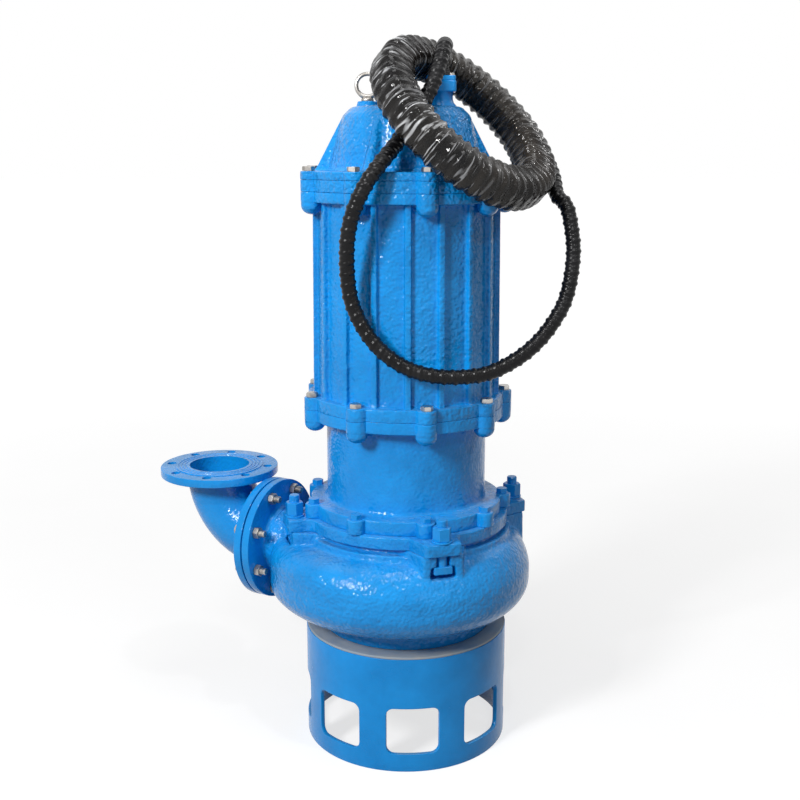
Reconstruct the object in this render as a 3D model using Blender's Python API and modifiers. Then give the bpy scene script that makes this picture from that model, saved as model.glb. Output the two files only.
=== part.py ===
"""A submersible slurry pump: strainer, volute, discharge elbow, seal housing, motor and its coiled cable."""

import math

import bmesh
import bpy
from mathutils import Euler, Matrix, Vector

MM = 0.001
GAP = 0.3 * MM  # between two pieces that touch
OVERRUN = 6 * MM  # how far a cut runs past a face
SUNK = 3 * MM  # how far a joined shape reaches into the one it grows from
ROUND_STEPS = 27
SKIRT_STEPS = 32
VOLUTE_STEPS = 28
SHAFT_STEPS = 16
SMALL_STEPS = 16
BOSS_SIDES = 8
BOSS_CAP_ANGLE = 36  # degrees from straight down, where the dome under a boss is cut flat
BOLT_SIDES = 8
TEE_SIDES = 12
HUB_SIDES = 18
NECK_SIDES = 20
HOLE_SIDES = 6
FLANGE_STEPS = 20

# Strainer skirt, and the plate that closes its top
SKIRT_RADIUS = 241 * MM
SKIRT_WALL = 10 * MM
SKIRT_HEIGHT = 274 * MM
WINDOW_COUNT = 8
WINDOW_FIRST = 3.6  # degrees from the front, turning towards +X
WINDOW_WIDTH = 124 * MM
WINDOW_LOW = 43 * MM
WINDOW_HIGH = 155 * MM
WINDOW_CORNER = 18 * MM
PLATE_THICKNESS = 14 * MM
SUCTION_RADIUS = 78 * MM

# Volute
VOLUTE_LOW = 280 * MM
VOLUTE_FOOT_RADIUS = 240 * MM
VOLUTE_WALL = 14 * MM
BELLY_LOW = 400 * MM
BELLY_HIGH = 430 * MM
SHOULDER_HIGH = 503 * MM
SHOULDER_RADIUS = 256 * MM
NECK_RADIUS = 246 * MM
NECK_STEP_HIGH = 519 * MM
NECK_LIP_RADIUS = 226 * MM
NECK_BORE_RADIUS = 200 * MM
CLAMP_FACE = 532 * MM  # underside of the casing cover
SPIRAL_SMALL = 262 * MM
SPIRAL_LARGE = 327 * MM
TONGUE_ANGLE = 140  # degrees from +X, where the spiral starts
SPIRAL_SHARE = 0.822  # of the turn, over which the spiral grows
CUTBACK_SHARE = 0.117  # of the turn, over which it falls back behind the discharge flange
BELLY_ARC_SHARES = (0.0, 0.35, 0.65, 0.88)
TOP_ARC_SHARES = (0.0, 0.5, 0.82)
ROUNDNESS_SMALL = 1.25  # exponents of the belly's curve at either end of the spiral
ROUNDNESS_LARGE = 2.1
TOP_ROUNDNESS = 2.4

# Discharge: the bolted joint beside the volute, the elbow and its top flange
DISCHARGE_ANGLE = 151.8  # degrees from +X
DISCHARGE_OFFSET = 125 * MM
DISCHARGE_STAND = 30.6 * MM  # how far the joint stands out from the small end of the spiral
DISCHARGE_REACH = SPIRAL_SMALL + DISCHARGE_STAND
DISCHARGE_HEIGHT = 473 * MM
FLANGE_RADIUS = 142.5 * MM
FLANGE_THICKNESS = 19 * MM
FLANGE_PITCH_RADIUS = 120 * MM
FLANGE_HOLE_RADIUS = 10 * MM
FLANGE_HOLES = 8
RAISED_RADIUS = 106 * MM
RAISED_HEIGHT = 2 * MM
PIPE_RADIUS = 79.5 * MM
BORE_RADIUS = 72.5 * MM
ELBOW_RADIUS = 152 * MM
ELBOW_FACE = 161 * MM  # from the elbow's corner to either flange face
GASKET_THICKNESS = 3 * MM
NOZZLE_RADIUS = 83 * MM
NOZZLE_BACK_SHARES = (0.14, 0.28, 0.46, 0.68, 0.92)  # of the nozzle's length, from the joint inwards
NOZZLE_DROP_SHARES = (0.0, 0.2, 0.56, 0.86, 1.0)  # of its drop to the spiral's middle
NOZZLE_LENGTH = 190 * MM
NOZZLE_DROP = 72 * MM
NOZZLE_SIDES = 16

# Clamp ring over the volute, its four lugs and the T-bolts
COVER_RADIUS = 240 * MM
COVER_THICKNESS = 27 * MM
COVER_SPIGOT_WALL = 15 * MM
COVER_CUP_RADIUS = 165 * MM
COVER_CUP_LOW = 440 * MM
COVER_SPIGOT_LOW = 505 * MM
COVER_BORE_RADIUS = 44 * MM
LUG_COUNT = 4
LUG_FIRST = 16.4  # degrees from the front
LUG_OUTER = 291 * MM
LUG_WIDTH = 80 * MM
LUG_ROOT_WIDTH = 128 * MM
LUG_ROOT_RADIUS = 226 * MM
TEE_BOLT_INSET = 21 * MM  # from the lug's outer face
TEE_BOLT_PLACE = LUG_OUTER - TEE_BOLT_INSET
TEE_BOLT_RADIUS = 12 * MM
TEE_HEAD_WIDTH = 42 * MM
TEE_HEAD_DEPTH = 28 * MM
TEE_HEAD_HEIGHT = 17 * MM
TEE_BOLT_TOP = 610 * MM
TEE_NUT_WIDTH = 37 * MM  # across flats
TEE_NUT_HEIGHT = 30 * MM
TEE_WASHER_RADIUS = 23 * MM
TEE_WASHER_HEIGHT = 4 * MM
PEDESTAL_INSET = 7 * MM  # behind the lug's outer face
PEDESTAL_OUTER = LUG_OUTER - PEDESTAL_INSET
PEDESTAL_WIDTH = 100 * MM
PEDESTAL_FOOT_WIDTH = 116 * MM
PEDESTAL_LOW = 470 * MM
SLOT_NECK_WIDTH = 30 * MM
SLOT_HEAD_WIDTH = 54 * MM
SLOT_LEDGE = 506 * MM
SLOT_FLOOR = 484 * MM

# Seal housing, whose upper flange carries the motor
HOUSING_RADIUS = 186 * MM
HOUSING_CAVITY_RADIUS = 150 * MM
HOUSING_FLANGE_RADIUS = 225 * MM
HOUSING_FLANGE_HEIGHT = 32 * MM
HOUSING_FILLET = 9 * MM
HOUSING_FLOOR = 16 * MM
HOUSING_TOP_FLANGE_LOW = 787 * MM
HOUSING_HIGH = 814 * MM
HOUSING_CEILING = 752 * MM
HOUSING_BOSS_PLACE = 228 * MM
HOUSING_BOSS_RADIUS = 20.5 * MM
HOUSING_BOSS_FIRST = 10.65  # degrees from the front
HOUSING_BOLT_HEIGHT = 12 * MM
BOLT_COUNT = 9

# Motor frame and the two flanged joints at its ends
FRAME_BOLT_FIRST = 10.9  # degrees from the front
FLANGE_BODY_RADIUS = 226 * MM
BOSS_INSET = 4 * MM
BOSS_PLACE = FLANGE_BODY_RADIUS - BOSS_INSET
BOSS_RADIUS = 24 * MM
BOSS_REACH = 24 * MM  # below the flange that carries it
BOLT_OUTSET = 2 * MM
BOLT_PLACE = FLANGE_BODY_RADIUS + BOLT_OUTSET
BOLT_WIDTH = 24 * MM  # across flats
BOLT_HEAD_HEIGHT = 10 * MM
NUT_HEIGHT = 13 * MM
STUD_LENGTH = 17 * MM  # from under the nut to the end of the bolt
NUT_POCKET_RADIUS = 16.5 * MM
BOLT_RADIUS = 8 * MM
BOLT_HOLE_RADIUS = 9.8 * MM
FRAME_BASE_HEIGHT = 28 * MM
FRAME_BODY_RADIUS = 205 * MM
FRAME_BODY_TOP_RADIUS = 201 * MM
FRAME_BORE_RADIUS = 184.4 * MM
FRAME_TOP_FLANGE_LOW = 1276 * MM
FRAME_HIGH = 1299 * MM
RIB_COUNT = 18
RIB_FIRST = 0.7  # degrees from the front
RIB_WIDTH = 13.5 * MM
RIB_HEIGHT = 11 * MM
SHIELD_THICKNESS = 26 * MM
SHIELD_HUB_RADIUS = 92 * MM
SHIELD_HUB_LOW = 1284 * MM

# Top cover
TOP_FLANGE_THICKNESS = 18 * MM
DOME_BASE_RADIUS = 178 * MM
DOME_SHOULDER_RADIUS = 142 * MM
DOME_SHOULDER_HIGH = 1462 * MM
DOME_TOP_RADIUS = 122 * MM
DOME_HIGH = 1481 * MM
DOME_WALL = 11 * MM
DOME_RIB_COUNT = 6
DOME_RIB_FIRST = -25  # degrees from the front
DOME_RIB_WIDTH = 12 * MM
DOME_RIB_FOOT = 26 * MM  # how far the foot of a rib stands out
EYE_PLACE = 86 * MM  # from the axis
EYE_ANGLES = {"lifting_eye_left": 180, "lifting_eye_back": 90}  # degrees from +X
EYE_PAD_RADIUS = 22 * MM
EYE_PAD_HEIGHT = 12 * MM
EYE_COLLAR_RADIUS = 14 * MM
EYE_COLLAR_HEIGHT = 7 * MM
EYE_RING_RADIUS = 24.5 * MM
EYE_WIRE_RADIUS = 4.5 * MM
EYE_SHANK_RADIUS = 8 * MM
EYE_SHANK_LENGTH = 18 * MM
EYE_SHANK_SIDES = 12
EYE_RING_STEPS = 14
EYE_WIRE_SIDES = 6
GLAND_PLACE = 75 * MM
GLAND_FORWARD = 10 * MM
GLAND_NECK_RADIUS = 27 * MM
GLAND_LOW = 1512 * MM
GLAND_HIGH = 1547 * MM
GLAND_WIDTH = 68 * MM
GLAND_DEPTH = 56 * MM
GLAND_CORNER = 6 * MM

# Rotor, from the agitator's nut at the bottom to the upper bearing
SHAFT_TIP_RADIUS = 18 * MM
SHAFT_IMPELLER_RADIUS = 24 * MM
SHAFT_SEAL_RADIUS = 32 * MM
SHAFT_LOW = 172 * MM
SHAFT_HIGH = 1321 * MM
NUT_LOW = 180 * MM
NUT_WIDTH = 50 * MM
AGITATOR_LOW = 204 * MM
AGITATOR_HIGH = 250 * MM
AGITATOR_HUB_RADIUS = 32 * MM
AGITATOR_REACH = 96 * MM
AGITATOR_BLADE = 12 * MM
AGITATOR_BLADES = 3
AGITATOR_TILT = 35  # degrees
AGITATOR_BLADE_SHARE = 0.9  # of the hub's height
IMPELLER_LOW = 306 * MM
IMPELLER_HIGH = 424 * MM
IMPELLER_RADIUS = 155 * MM
IMPELLER_EYE_RADIUS = 73 * MM
IMPELLER_HUB_RADIUS = 46 * MM
IMPELLER_HUB_SHARE = 0.8  # of that radius at the hub's lower end
IMPELLER_SHROUD = 11 * MM
VANE_COUNT = 3
VANE_WALL = 12 * MM
VANE_INNER = 58 * MM
VANE_WRAP = 100  # degrees
VANE_STEPS = 5
SEAL_SEAT_RADIUS = 55 * MM
SEAL_HEAD_RADIUS = 50 * MM
SEAL_HEAD_HIGH = 640 * MM

# Bearings: bore, outside and width of each, and their balls
LOWER_BORE_RADIUS = 40 * MM
LOWER_OUTER_RADIUS = 85 * MM
LOWER_WIDTH = 39 * MM
LOWER_LOW = 774 * MM
UPPER_BORE_RADIUS = 32.5 * MM
UPPER_OUTER_RADIUS = 70 * MM
UPPER_WIDTH = 33 * MM
UPPER_LOW = 1290 * MM
RING_WALL_SHARE = 0.26  # of the space between bore and outside
BALL_COUNT = 7
CAGE_WALL_SHARE = 0.22
CAGE_HEIGHT_SHARE = 0.28

# Stator and rotor core
CORE_LOW = 925 * MM
CORE_HIGH = 1175 * MM
STATOR_BORE_RADIUS = 118 * MM
AIR_GAP = 1 * MM
ROTOR_BORE_RADIUS = 48 * MM
SLOT_COUNT = 12
BAR_WIDTH = 16 * MM
BAR_DEPTH = 24 * MM
BAR_PLACE = 148 * MM
HEAD_INNER = 128 * MM
HEAD_OUTER = 172 * MM
HEAD_HEIGHT = 34 * MM

# Cable: a conduit from the gland in one loose loop, then a wrapped coil that hangs on the top cover
CABLE_RADIUS = 16 * MM
COIL_CENTRE = Vector((119 * MM, -86 * MM, 1448.6 * MM))
COIL_TILT = 45.9  # degrees from level
COIL_TURN = -36  # degrees, the way it tilts towards
COIL_RADIUS = 203 * MM
COIL_BUNDLE_RADIUS = 41 * MM
COIL_STEPS = 30
COIL_SIDES = 8
CABLE_START = Vector((75 * MM, -10 * MM, 1547.3 * MM))
CABLE_ROUTE = (
    (0.0750, -0.0100, 1.5570),
    (0.0765, -0.0180, 1.5740),
    (0.0800, -0.0400, 1.5950),
    (0.0815, -0.0720, 1.6060),
    (0.0765, -0.1030, 1.5920),
    (0.0665, -0.1290, 1.5580),
    (0.0520, -0.1480, 1.5180),
    (0.0320, -0.1620, 1.4800),
    (0.0060, -0.1755, 1.4430),
    (-0.0220, -0.2000, 1.4000),
    (-0.0530, -0.2380, 1.3620),
    (-0.0780, -0.2580, 1.3280),
    (-0.0970, -0.2640, 1.2940),
    (-0.1110, -0.2590, 1.2600),
    (-0.1200, -0.2520, 1.2240),
    (-0.1240, -0.2440, 1.1860),
    (-0.1240, -0.2310, 1.1330),
    (-0.1170, -0.2230, 1.0800),
    (-0.0990, -0.2230, 1.0340),
    (-0.0730, -0.2270, 0.9940),
    (-0.0420, -0.2320, 0.9630),
    (-0.0040, -0.2370, 0.9390),
    (0.0380, -0.2410, 0.9250),
    (0.0810, -0.2420, 0.9190),
    (0.1230, -0.2390, 0.9190),
    (0.1660, -0.2330, 0.9240),
    (0.2090, -0.2240, 0.9400),
    (0.2520, -0.2110, 0.9650),
    (0.2890, -0.1960, 0.9970),
    (0.3200, -0.1790, 1.0360),
    (0.3410, -0.1630, 1.0730),
    (0.3550, -0.1430, 1.1240),
    (0.3610, -0.1230, 1.1760),
    (0.3580, -0.1030, 1.2240),
    (0.3490, -0.0820, 1.2680),
    (0.3310, -0.0558, 1.2899),
    (0.3306, -0.0280, 1.3071),
    (0.3309, -0.0007, 1.3234),
    (0.3285, 0.0255, 1.3413),
    (0.3258, 0.0398, 1.3523),
)
CABLE_SIDES_RESOLUTION = 2
CABLE_STEPS = 42
ROUTE_STEPS = 16

FRONT = -90  # degrees from +X


def joint_place():
    """The middle of the flanged joint beside the volute, about the shaft axis."""
    away = Vector((math.cos(math.radians(DISCHARGE_ANGLE)), math.sin(math.radians(DISCHARGE_ANGLE)), 0))
    side = Vector((-away.y, away.x, 0))
    return away, side * DISCHARGE_OFFSET + away * DISCHARGE_REACH + Vector((0, 0, DISCHARGE_HEIGHT))


def spiral_radius(angle):
    """Outside of the belly at an angle in degrees from +X; the flow turns clockwise from above."""
    turned = ((TONGUE_ANGLE - angle) % 360) / 360
    if turned <= SPIRAL_SHARE:
        grown = turned / SPIRAL_SHARE
    else:
        back = min((turned - SPIRAL_SHARE) / CUTBACK_SHARE, 1)
        grown = (1 + math.cos(math.pi * back)) / 2
    return SPIRAL_SMALL + (SPIRAL_LARGE - SPIRAL_SMALL) * grown


def axis_place():
    """Where the shaft axis stands when the origin is the middle of the whole pump's footprint."""
    away, joint = joint_place()
    left = joint.x + away.x * ELBOW_FACE - FLANGE_RADIUS
    lug_turn = math.radians(LUG_FIRST)
    lug_corner = LUG_OUTER * math.cos(lug_turn) + LUG_WIDTH / 2 * math.sin(lug_turn)
    place = -(left + spiral_radius(0)) / 2, (spiral_radius(FRONT) - lug_corner) / 2
    return Vector((round(place[0] / MM) * MM, round(place[1] / MM) * MM, 0))


def clear_scene():
    for obj in list(bpy.data.objects):
        bpy.data.objects.remove(obj, do_unlink=True)
    for name in ("slurry_pump", "slurry_pump_tools"):
        bpy.context.scene.collection.children.link(bpy.data.collections.new(name))
    axis = bpy.data.objects.new("pump_axis", None)
    axis.location = axis_place()
    bpy.data.collections["slurry_pump"].objects.link(axis)


def paint(name, colour, roughness, metallic=0.0):
    material = bpy.data.materials.get(name)
    if material is None:
        material = bpy.data.materials.new(name)
        material.use_nodes = True
        shader = material.node_tree.nodes["Principled BSDF"]
        shader.inputs["Base Color"].default_value = (*colour, 1.0)
        shader.inputs["Roughness"].default_value = roughness
        shader.inputs["Metallic"].default_value = metallic
    return material


def blue():
    return paint("blue_enamel", (0.035, 0.28, 0.75), 0.3)


def steel():
    return paint("zinc_steel", (0.62, 0.62, 0.60), 0.35, 1.0)


def machined():
    return paint("machined_steel", (0.45, 0.46, 0.47), 0.3, 1.0)


def iron():
    return paint("grey_iron", (0.30, 0.31, 0.32), 0.65, 0.6)


def copper():
    return paint("winding_copper", (0.60, 0.26, 0.10), 0.4, 0.8)


def black():
    return paint("black_rubber", (0.018, 0.018, 0.02), 0.45)


def ceramic():
    return paint("seal_ceramic", (0.16, 0.15, 0.15), 0.25)


def add_object(name, mesh, material=None):
    """A named piece with a material, or a hidden tool without one, standing on the shaft axis."""
    obj = bpy.data.objects.new(name, mesh)
    home = "slurry_pump" if material else "slurry_pump_tools"
    bpy.data.collections[home].objects.link(obj)
    obj.parent = bpy.data.objects["pump_axis"]
    if material:
        if not mesh.materials:
            mesh.materials.append(material)
    else:
        obj.hide_render = True
        obj.display_type = "WIRE"
    return obj


def from_bmesh(name, bm, material=None, smooth=40):
    bmesh.ops.recalc_face_normals(bm, faces=bm.faces)
    mesh = bpy.data.meshes.new(name)
    bm.to_mesh(mesh)
    bm.free()
    mesh.shade_smooth()
    mesh.set_sharp_from_angle(angle=math.radians(smooth))
    return add_object(name, mesh, material)


def turned(name, profile, material=None, steps=ROUND_STEPS, ring=True):
    """A profile of (radius, height) points, listed down the outer side, turned about the axis."""
    mesh = bpy.data.meshes.new(name)
    count = len(profile)
    edges = [(i, i + 1) for i in range(count - 1)] + ([(count - 1, 0)] if ring else [])
    mesh.from_pydata([(radius, 0, height) for radius, height in profile], edges, [])
    obj = add_object(name, mesh, material)
    screw = obj.modifiers.new("Turn", "SCREW")
    screw.steps = screw.render_steps = steps
    screw.use_merge_vertices = True
    screw.merge_threshold = MM / 100
    screw.use_smooth_shade = True
    return obj


def combine(target, tool, operation):
    boolean = target.modifiers.new(f"{operation.title()} {tool.name}", "BOOLEAN")
    boolean.operation = operation
    boolean.object = tool
    return target


def join(target, *tools):
    for tool in tools:
        combine(target, tool, "UNION")
    return target


def cut(target, *tools):
    for tool in tools:
        combine(target, tool, "DIFFERENCE")
    return target


def finished(obj):
    """The object's mesh with its modifiers applied; the object is removed."""
    bpy.context.view_layer.update()
    mesh = bpy.data.meshes.new_from_object(obj.evaluated_get(bpy.context.evaluated_depsgraph_get()))
    bpy.data.objects.remove(obj, do_unlink=True)
    return mesh


def around(angle, radius=0.0, height=0.0):
    """A frame on a circle about the axis: its X points outwards, and the angle is in degrees from +X."""
    return Matrix.Rotation(math.radians(angle), 4, "Z") @ Matrix.Translation((radius, 0, height))


def angles(count, first):
    """Equal steps round the axis, the first one counted in degrees from the front."""
    return [FRONT + first + 360 * i / count for i in range(count)]


def add_rod(bm, place, radius, low, high, sides=SMALL_STEPS, top_radius=None):
    matrix = place @ Matrix.Translation((0, 0, (low + high) / 2))
    top = radius if top_radius is None else top_radius
    bmesh.ops.create_cone(
        bm, cap_ends=True, segments=sides, radius1=radius, radius2=top, depth=high - low, matrix=matrix
    )


def add_hex(bm, place, across_flats, low, high):
    add_rod(bm, place, across_flats / math.sqrt(3), low, high, sides=6)


def add_box(bm, place, size):
    bmesh.ops.create_cube(bm, size=1, matrix=place @ Matrix.Diagonal((*size, 1)))


def add_prism(bm, place, outline, thickness):
    """An outline in the frame's XY plane, thickened by half its thickness to either side."""
    bottom = [bm.verts.new(place @ Vector((x, y, -thickness / 2))) for x, y in outline]
    face = bm.faces.new(bottom)
    lifted = bmesh.ops.extrude_face_region(bm, geom=[face])
    rise = place.to_3x3() @ Vector((0, 0, thickness))
    bmesh.ops.translate(bm, vec=rise, verts=[v for v in lifted["geom"] if isinstance(v, bmesh.types.BMVert)])


def add_boss(bm, place, radius, low, high):
    """A round boss whose lower end is a dome."""
    level = low + radius
    rings = []
    sides = BOSS_SIDES
    turn = math.radians(BOSS_CAP_ANGLE)
    rings.append((radius * math.sin(turn), level - radius * math.cos(turn)))
    rings += [(radius, level), (radius, high)]
    loops = [
        [
            bm.verts.new(place @ Matrix.Rotation(2 * math.pi * i / sides, 4, "Z") @ Vector((r, 0, z)))
            for i in range(sides)
        ]
        for r, z in rings
    ]
    bm.faces.new(loops[0])
    bm.faces.new(loops[-1])
    skin(bm, loops)


def skin(bm, loops, closed=False):
    """Quads between neighbouring loops of the same number of points."""
    pairs = zip(loops, loops[1:] + loops[:1]) if closed else zip(loops, loops[1:])
    for first, second in pairs:
        for i in range(len(first)):
            j = (i + 1) % len(first)
            bm.faces.new((first[i], first[j], second[j], second[i]))


def tool(name, build):
    """A hidden solid made by a function that fills a bmesh."""
    bm = bmesh.new()
    build(bm)
    return from_bmesh(name, bm)


def strainer():
    inner = SKIRT_RADIUS - SKIRT_WALL
    skirt = turned(
        "strainer_skirt",
        [(SKIRT_RADIUS, SKIRT_HEIGHT), (SKIRT_RADIUS, 0), (inner, 0), (inner, SKIRT_HEIGHT)],
        blue(),
        steps=SKIRT_STEPS,
    )

    def windows(bm):
        size = (SKIRT_WALL + 4 * OVERRUN, WINDOW_WIDTH, WINDOW_HIGH - WINDOW_LOW)
        for angle in angles(WINDOW_COUNT, WINDOW_FIRST):
            add_box(bm, around(angle, SKIRT_RADIUS - SKIRT_WALL / 2, (WINDOW_LOW + WINDOW_HIGH) / 2), size)
        corners = [e for e in bm.edges if abs(e.calc_length() - size[0]) < MM / 10]
        bmesh.ops.bevel(bm, geom=corners, offset=WINDOW_CORNER, segments=3, profile=0.5, affect="EDGES")

    cut(skirt, tool("skirt_windows", windows))
    top = VOLUTE_LOW - GAP
    low = top - PLATE_THICKNESS
    plate_radius = inner - GAP - inner * (1 - math.cos(math.pi / SKIRT_STEPS))
    turned(
        "suction_plate",
        [(plate_radius, top), (plate_radius, low), (SUCTION_RADIUS, low), (SUCTION_RADIUS, top)],
        iron(),
    )


def volute_section(angle, inset=0.0):
    """Half outline of the volute from its top on the axis to its bottom on the axis."""
    belly = spiral_radius(angle) - inset
    grown = (belly + inset - SPIRAL_SMALL) / (SPIRAL_LARGE - SPIRAL_SMALL)
    power = ROUNDNESS_SMALL + (ROUNDNESS_LARGE - ROUNDNESS_SMALL) * grown
    foot = VOLUTE_FOOT_RADIUS - inset
    low = VOLUTE_LOW + inset
    high = SHOULDER_HIGH - inset
    points = []
    for share in reversed(TOP_ARC_SHARES):
        level = BELLY_HIGH + (high - BELLY_HIGH) * share
        reach = SHOULDER_RADIUS - inset
        points.append((reach + (belly - reach) * (1 - share**TOP_ROUNDNESS) ** (1 / TOP_ROUNDNESS), level))
    for share in BELLY_ARC_SHARES:
        level = BELLY_LOW - (BELLY_LOW - low) * share
        points.append((foot + (belly - foot) * (1 - share**power) ** (1 / power), level))
    points.append((foot, low))
    return points


def spiral_solid(name, top, bottom, inset, material=None):
    """The volute's spiral lofted round the axis, closed on it by a top and a bottom given as points."""
    bm = bmesh.new()
    loops = []
    for i in range(VOLUTE_STEPS):
        angle = 360 * i / VOLUTE_STEPS
        outline = top + volute_section(angle, inset) + bottom
        frame = around(angle)
        loops.append([bm.verts.new(frame @ Vector((r, 0, z))) for r, z in outline])
    for first, second in zip(loops, loops[1:] + loops[:1]):
        for i in range(len(first) - 1):
            bm.faces.new((first[i], first[i + 1], second[i + 1], second[i]))
    bm.faces.new([loop[0] for loop in loops])
    bm.faces.new([loop[-1] for loop in loops])
    return from_bmesh(name, bm, material)


def nozzle_loft(bm, radius, near, length_over):
    """A swan neck from the joint down into the spiral."""
    away, joint = joint_place()
    side = Vector((-away.y, away.x, 0))
    loops = []
    shares = list(zip(NOZZLE_BACK_SHARES, NOZZLE_DROP_SHARES))
    stations = [(near, 0.0)] + [(-NOZZLE_LENGTH * back, NOZZLE_DROP * drop) for back, drop in shares]
    stations.append((-NOZZLE_LENGTH - length_over, NOZZLE_DROP))
    for along, drop in stations:
        centre = joint + away * along - Vector((0, 0, drop))
        loops.append(
            [
                bm.verts.new(
                    centre
                    + side * radius * math.cos(2 * math.pi * i / NOZZLE_SIDES)
                    + Vector((0, 0, radius * math.sin(2 * math.pi * i / NOZZLE_SIDES)))
                )
                for i in range(NOZZLE_SIDES)
            ]
        )
    bm.faces.new(loops[0])
    bm.faces.new(loops[-1])
    skin(bm, loops)


def joint_frame():
    """The joint's own frame: Z points away from the volute, and X lies level."""
    away, joint = joint_place()
    side = Vector((-away.y, away.x, 0))
    return Matrix.Translation(joint) @ Matrix((side, Vector((0, 0, 1)), away)).transposed().to_4x4()


def hole_angles():
    return [360 * (i + 0.5) / FLANGE_HOLES for i in range(FLANGE_HOLES)]


def add_flange_holes(bm, place, low, high):
    for angle in hole_angles():
        hole_place = place @ around(angle, FLANGE_PITCH_RADIUS)
        add_rod(bm, hole_place, FLANGE_HOLE_RADIUS, low, high, sides=HOLE_SIDES)


def volute():
    lip_top = CLAMP_FACE - GAP
    top = [
        (NECK_LIP_RADIUS, lip_top),
        (NECK_LIP_RADIUS, NECK_STEP_HIGH),
        (NECK_RADIUS, NECK_STEP_HIGH),
        (NECK_RADIUS, SHOULDER_HIGH),
    ]
    casing = spiral_solid("volute_casing", top, [], 0.0, blue())

    def pedestals(bm):
        half = PEDESTAL_WIDTH / 2
        foot = PEDESTAL_FOOT_WIDTH / 2
        top = CLAMP_FACE - 2 * GAP
        outline = [(-foot, PEDESTAL_LOW), (foot, PEDESTAL_LOW), (half, top), (-half, top)]
        depth = PEDESTAL_OUTER - NECK_LIP_RADIUS + SUNK
        for angle in angles(LUG_COUNT, LUG_FIRST):
            upright = around(angle, PEDESTAL_OUTER - depth / 2) @ Matrix(
                ((0, 0, 1, 0), (1, 0, 0, 0), (0, 1, 0, 0), (0, 0, 0, 1))
            )
            add_prism(bm, upright, outline, depth)

    def slots(bm):
        inner = NECK_RADIUS + 2 * SUNK
        outer = SPIRAL_LARGE + OVERRUN
        deep = outer - inner
        for angle in angles(LUG_COUNT, LUG_FIRST):
            neck_high = CLAMP_FACE - SLOT_LEDGE + 2 * OVERRUN
            place = around(angle, inner + deep / 2, SLOT_LEDGE + neck_high / 2 - OVERRUN)
            add_box(bm, place, (deep, SLOT_NECK_WIDTH, neck_high))

    def slot_heads(bm):
        inner = NECK_RADIUS + SUNK
        outer = SPIRAL_LARGE + OVERRUN
        for angle in angles(LUG_COUNT, LUG_FIRST):
            place = around(angle, (inner + outer) / 2, (SLOT_FLOOR + SLOT_LEDGE) / 2)
            add_box(bm, place, (outer - inner, SLOT_HEAD_WIDTH, SLOT_LEDGE - SLOT_FLOOR))

    def flange(bm):
        add_rod(bm, joint_frame(), FLANGE_RADIUS, back, back + FLANGE_THICKNESS, FLANGE_STEPS)

    def chamber():
        above = CLAMP_FACE + OVERRUN
        ceiling = SHOULDER_HIGH - VOLUTE_WALL
        mouth = [(NECK_BORE_RADIUS, above), (NECK_BORE_RADIUS, ceiling)]
        floor = [(SUCTION_RADIUS, VOLUTE_LOW + VOLUTE_WALL), (SUCTION_RADIUS, VOLUTE_LOW - OVERRUN)]
        return spiral_solid("volute_chamber", mouth, floor, VOLUTE_WALL)

    def nut_pockets(bm):
        for angle in hole_angles():
            place = joint_frame() @ around(angle, FLANGE_PITCH_RADIUS)
            add_rod(bm, place, NUT_POCKET_RADIUS, back - STUD_LENGTH - 2 * GAP, back - 2 * GAP, FLANGE_STEPS)

    back = -GASKET_THICKNESS / 2 - GAP - FLANGE_THICKNESS
    join(casing, tool("nozzle_outside", lambda bm: nozzle_loft(bm, NOZZLE_RADIUS, back + SUNK, 0)))
    join(casing, tool("nozzle_flange", flange))
    join(casing, tool("slot_pedestals", pedestals))
    cut(casing, chamber())
    cut(casing, tool("nozzle_bore", lambda bm: nozzle_loft(bm, BORE_RADIUS, OVERRUN, -SUNK)))
    cut(casing, tool("nozzle_holes", lambda bm: add_flange_holes(bm, joint_frame(), back - OVERRUN, OVERRUN)))
    cut(casing, tool("nut_pockets", nut_pockets))
    cut(casing, tool("slot_necks", slots), tool("slot_rooms", slot_heads))


def bend_tube(name, radius, over):
    """The elbow's tube as a mesh: a quarter bend with a straight end of its own at either flange."""
    away, joint = joint_place()
    face = GASKET_THICKNESS / 2 + GAP
    straight = ELBOW_FACE - ELBOW_RADIUS
    centre = joint + away * straight + Vector((0, 0, ELBOW_RADIUS))
    steps = 6
    points = [joint + away * (face - over)]
    for i in range(steps + 1):
        turn = math.pi / 2 * i / steps
        rise = Vector((0, 0, ELBOW_RADIUS * math.cos(turn)))
        points.append(centre + away * ELBOW_RADIUS * math.sin(turn) - rise)
    points.append(joint + (away + Vector((0, 0, 1))) * ELBOW_FACE + Vector((0, 0, over)))
    curve = bpy.data.curves.new(name, "CURVE")
    curve.dimensions = "3D"
    curve.bevel_depth = radius
    curve.bevel_resolution = 5
    curve.use_fill_caps = True
    spline = curve.splines.new("POLY")
    spline.points.add(len(points) - 1)
    for point, place in zip(spline.points, points):
        point.co = (*place, 1)
    guide = bpy.data.objects.new(name + "_guide", curve)
    bpy.data.collections["slurry_pump_tools"].objects.link(guide)
    mesh = finished(guide)
    bm = bmesh.new()
    bm.from_mesh(mesh)
    bmesh.ops.remove_doubles(bm, verts=bm.verts, dist=MM / 100)
    return bm


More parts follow.
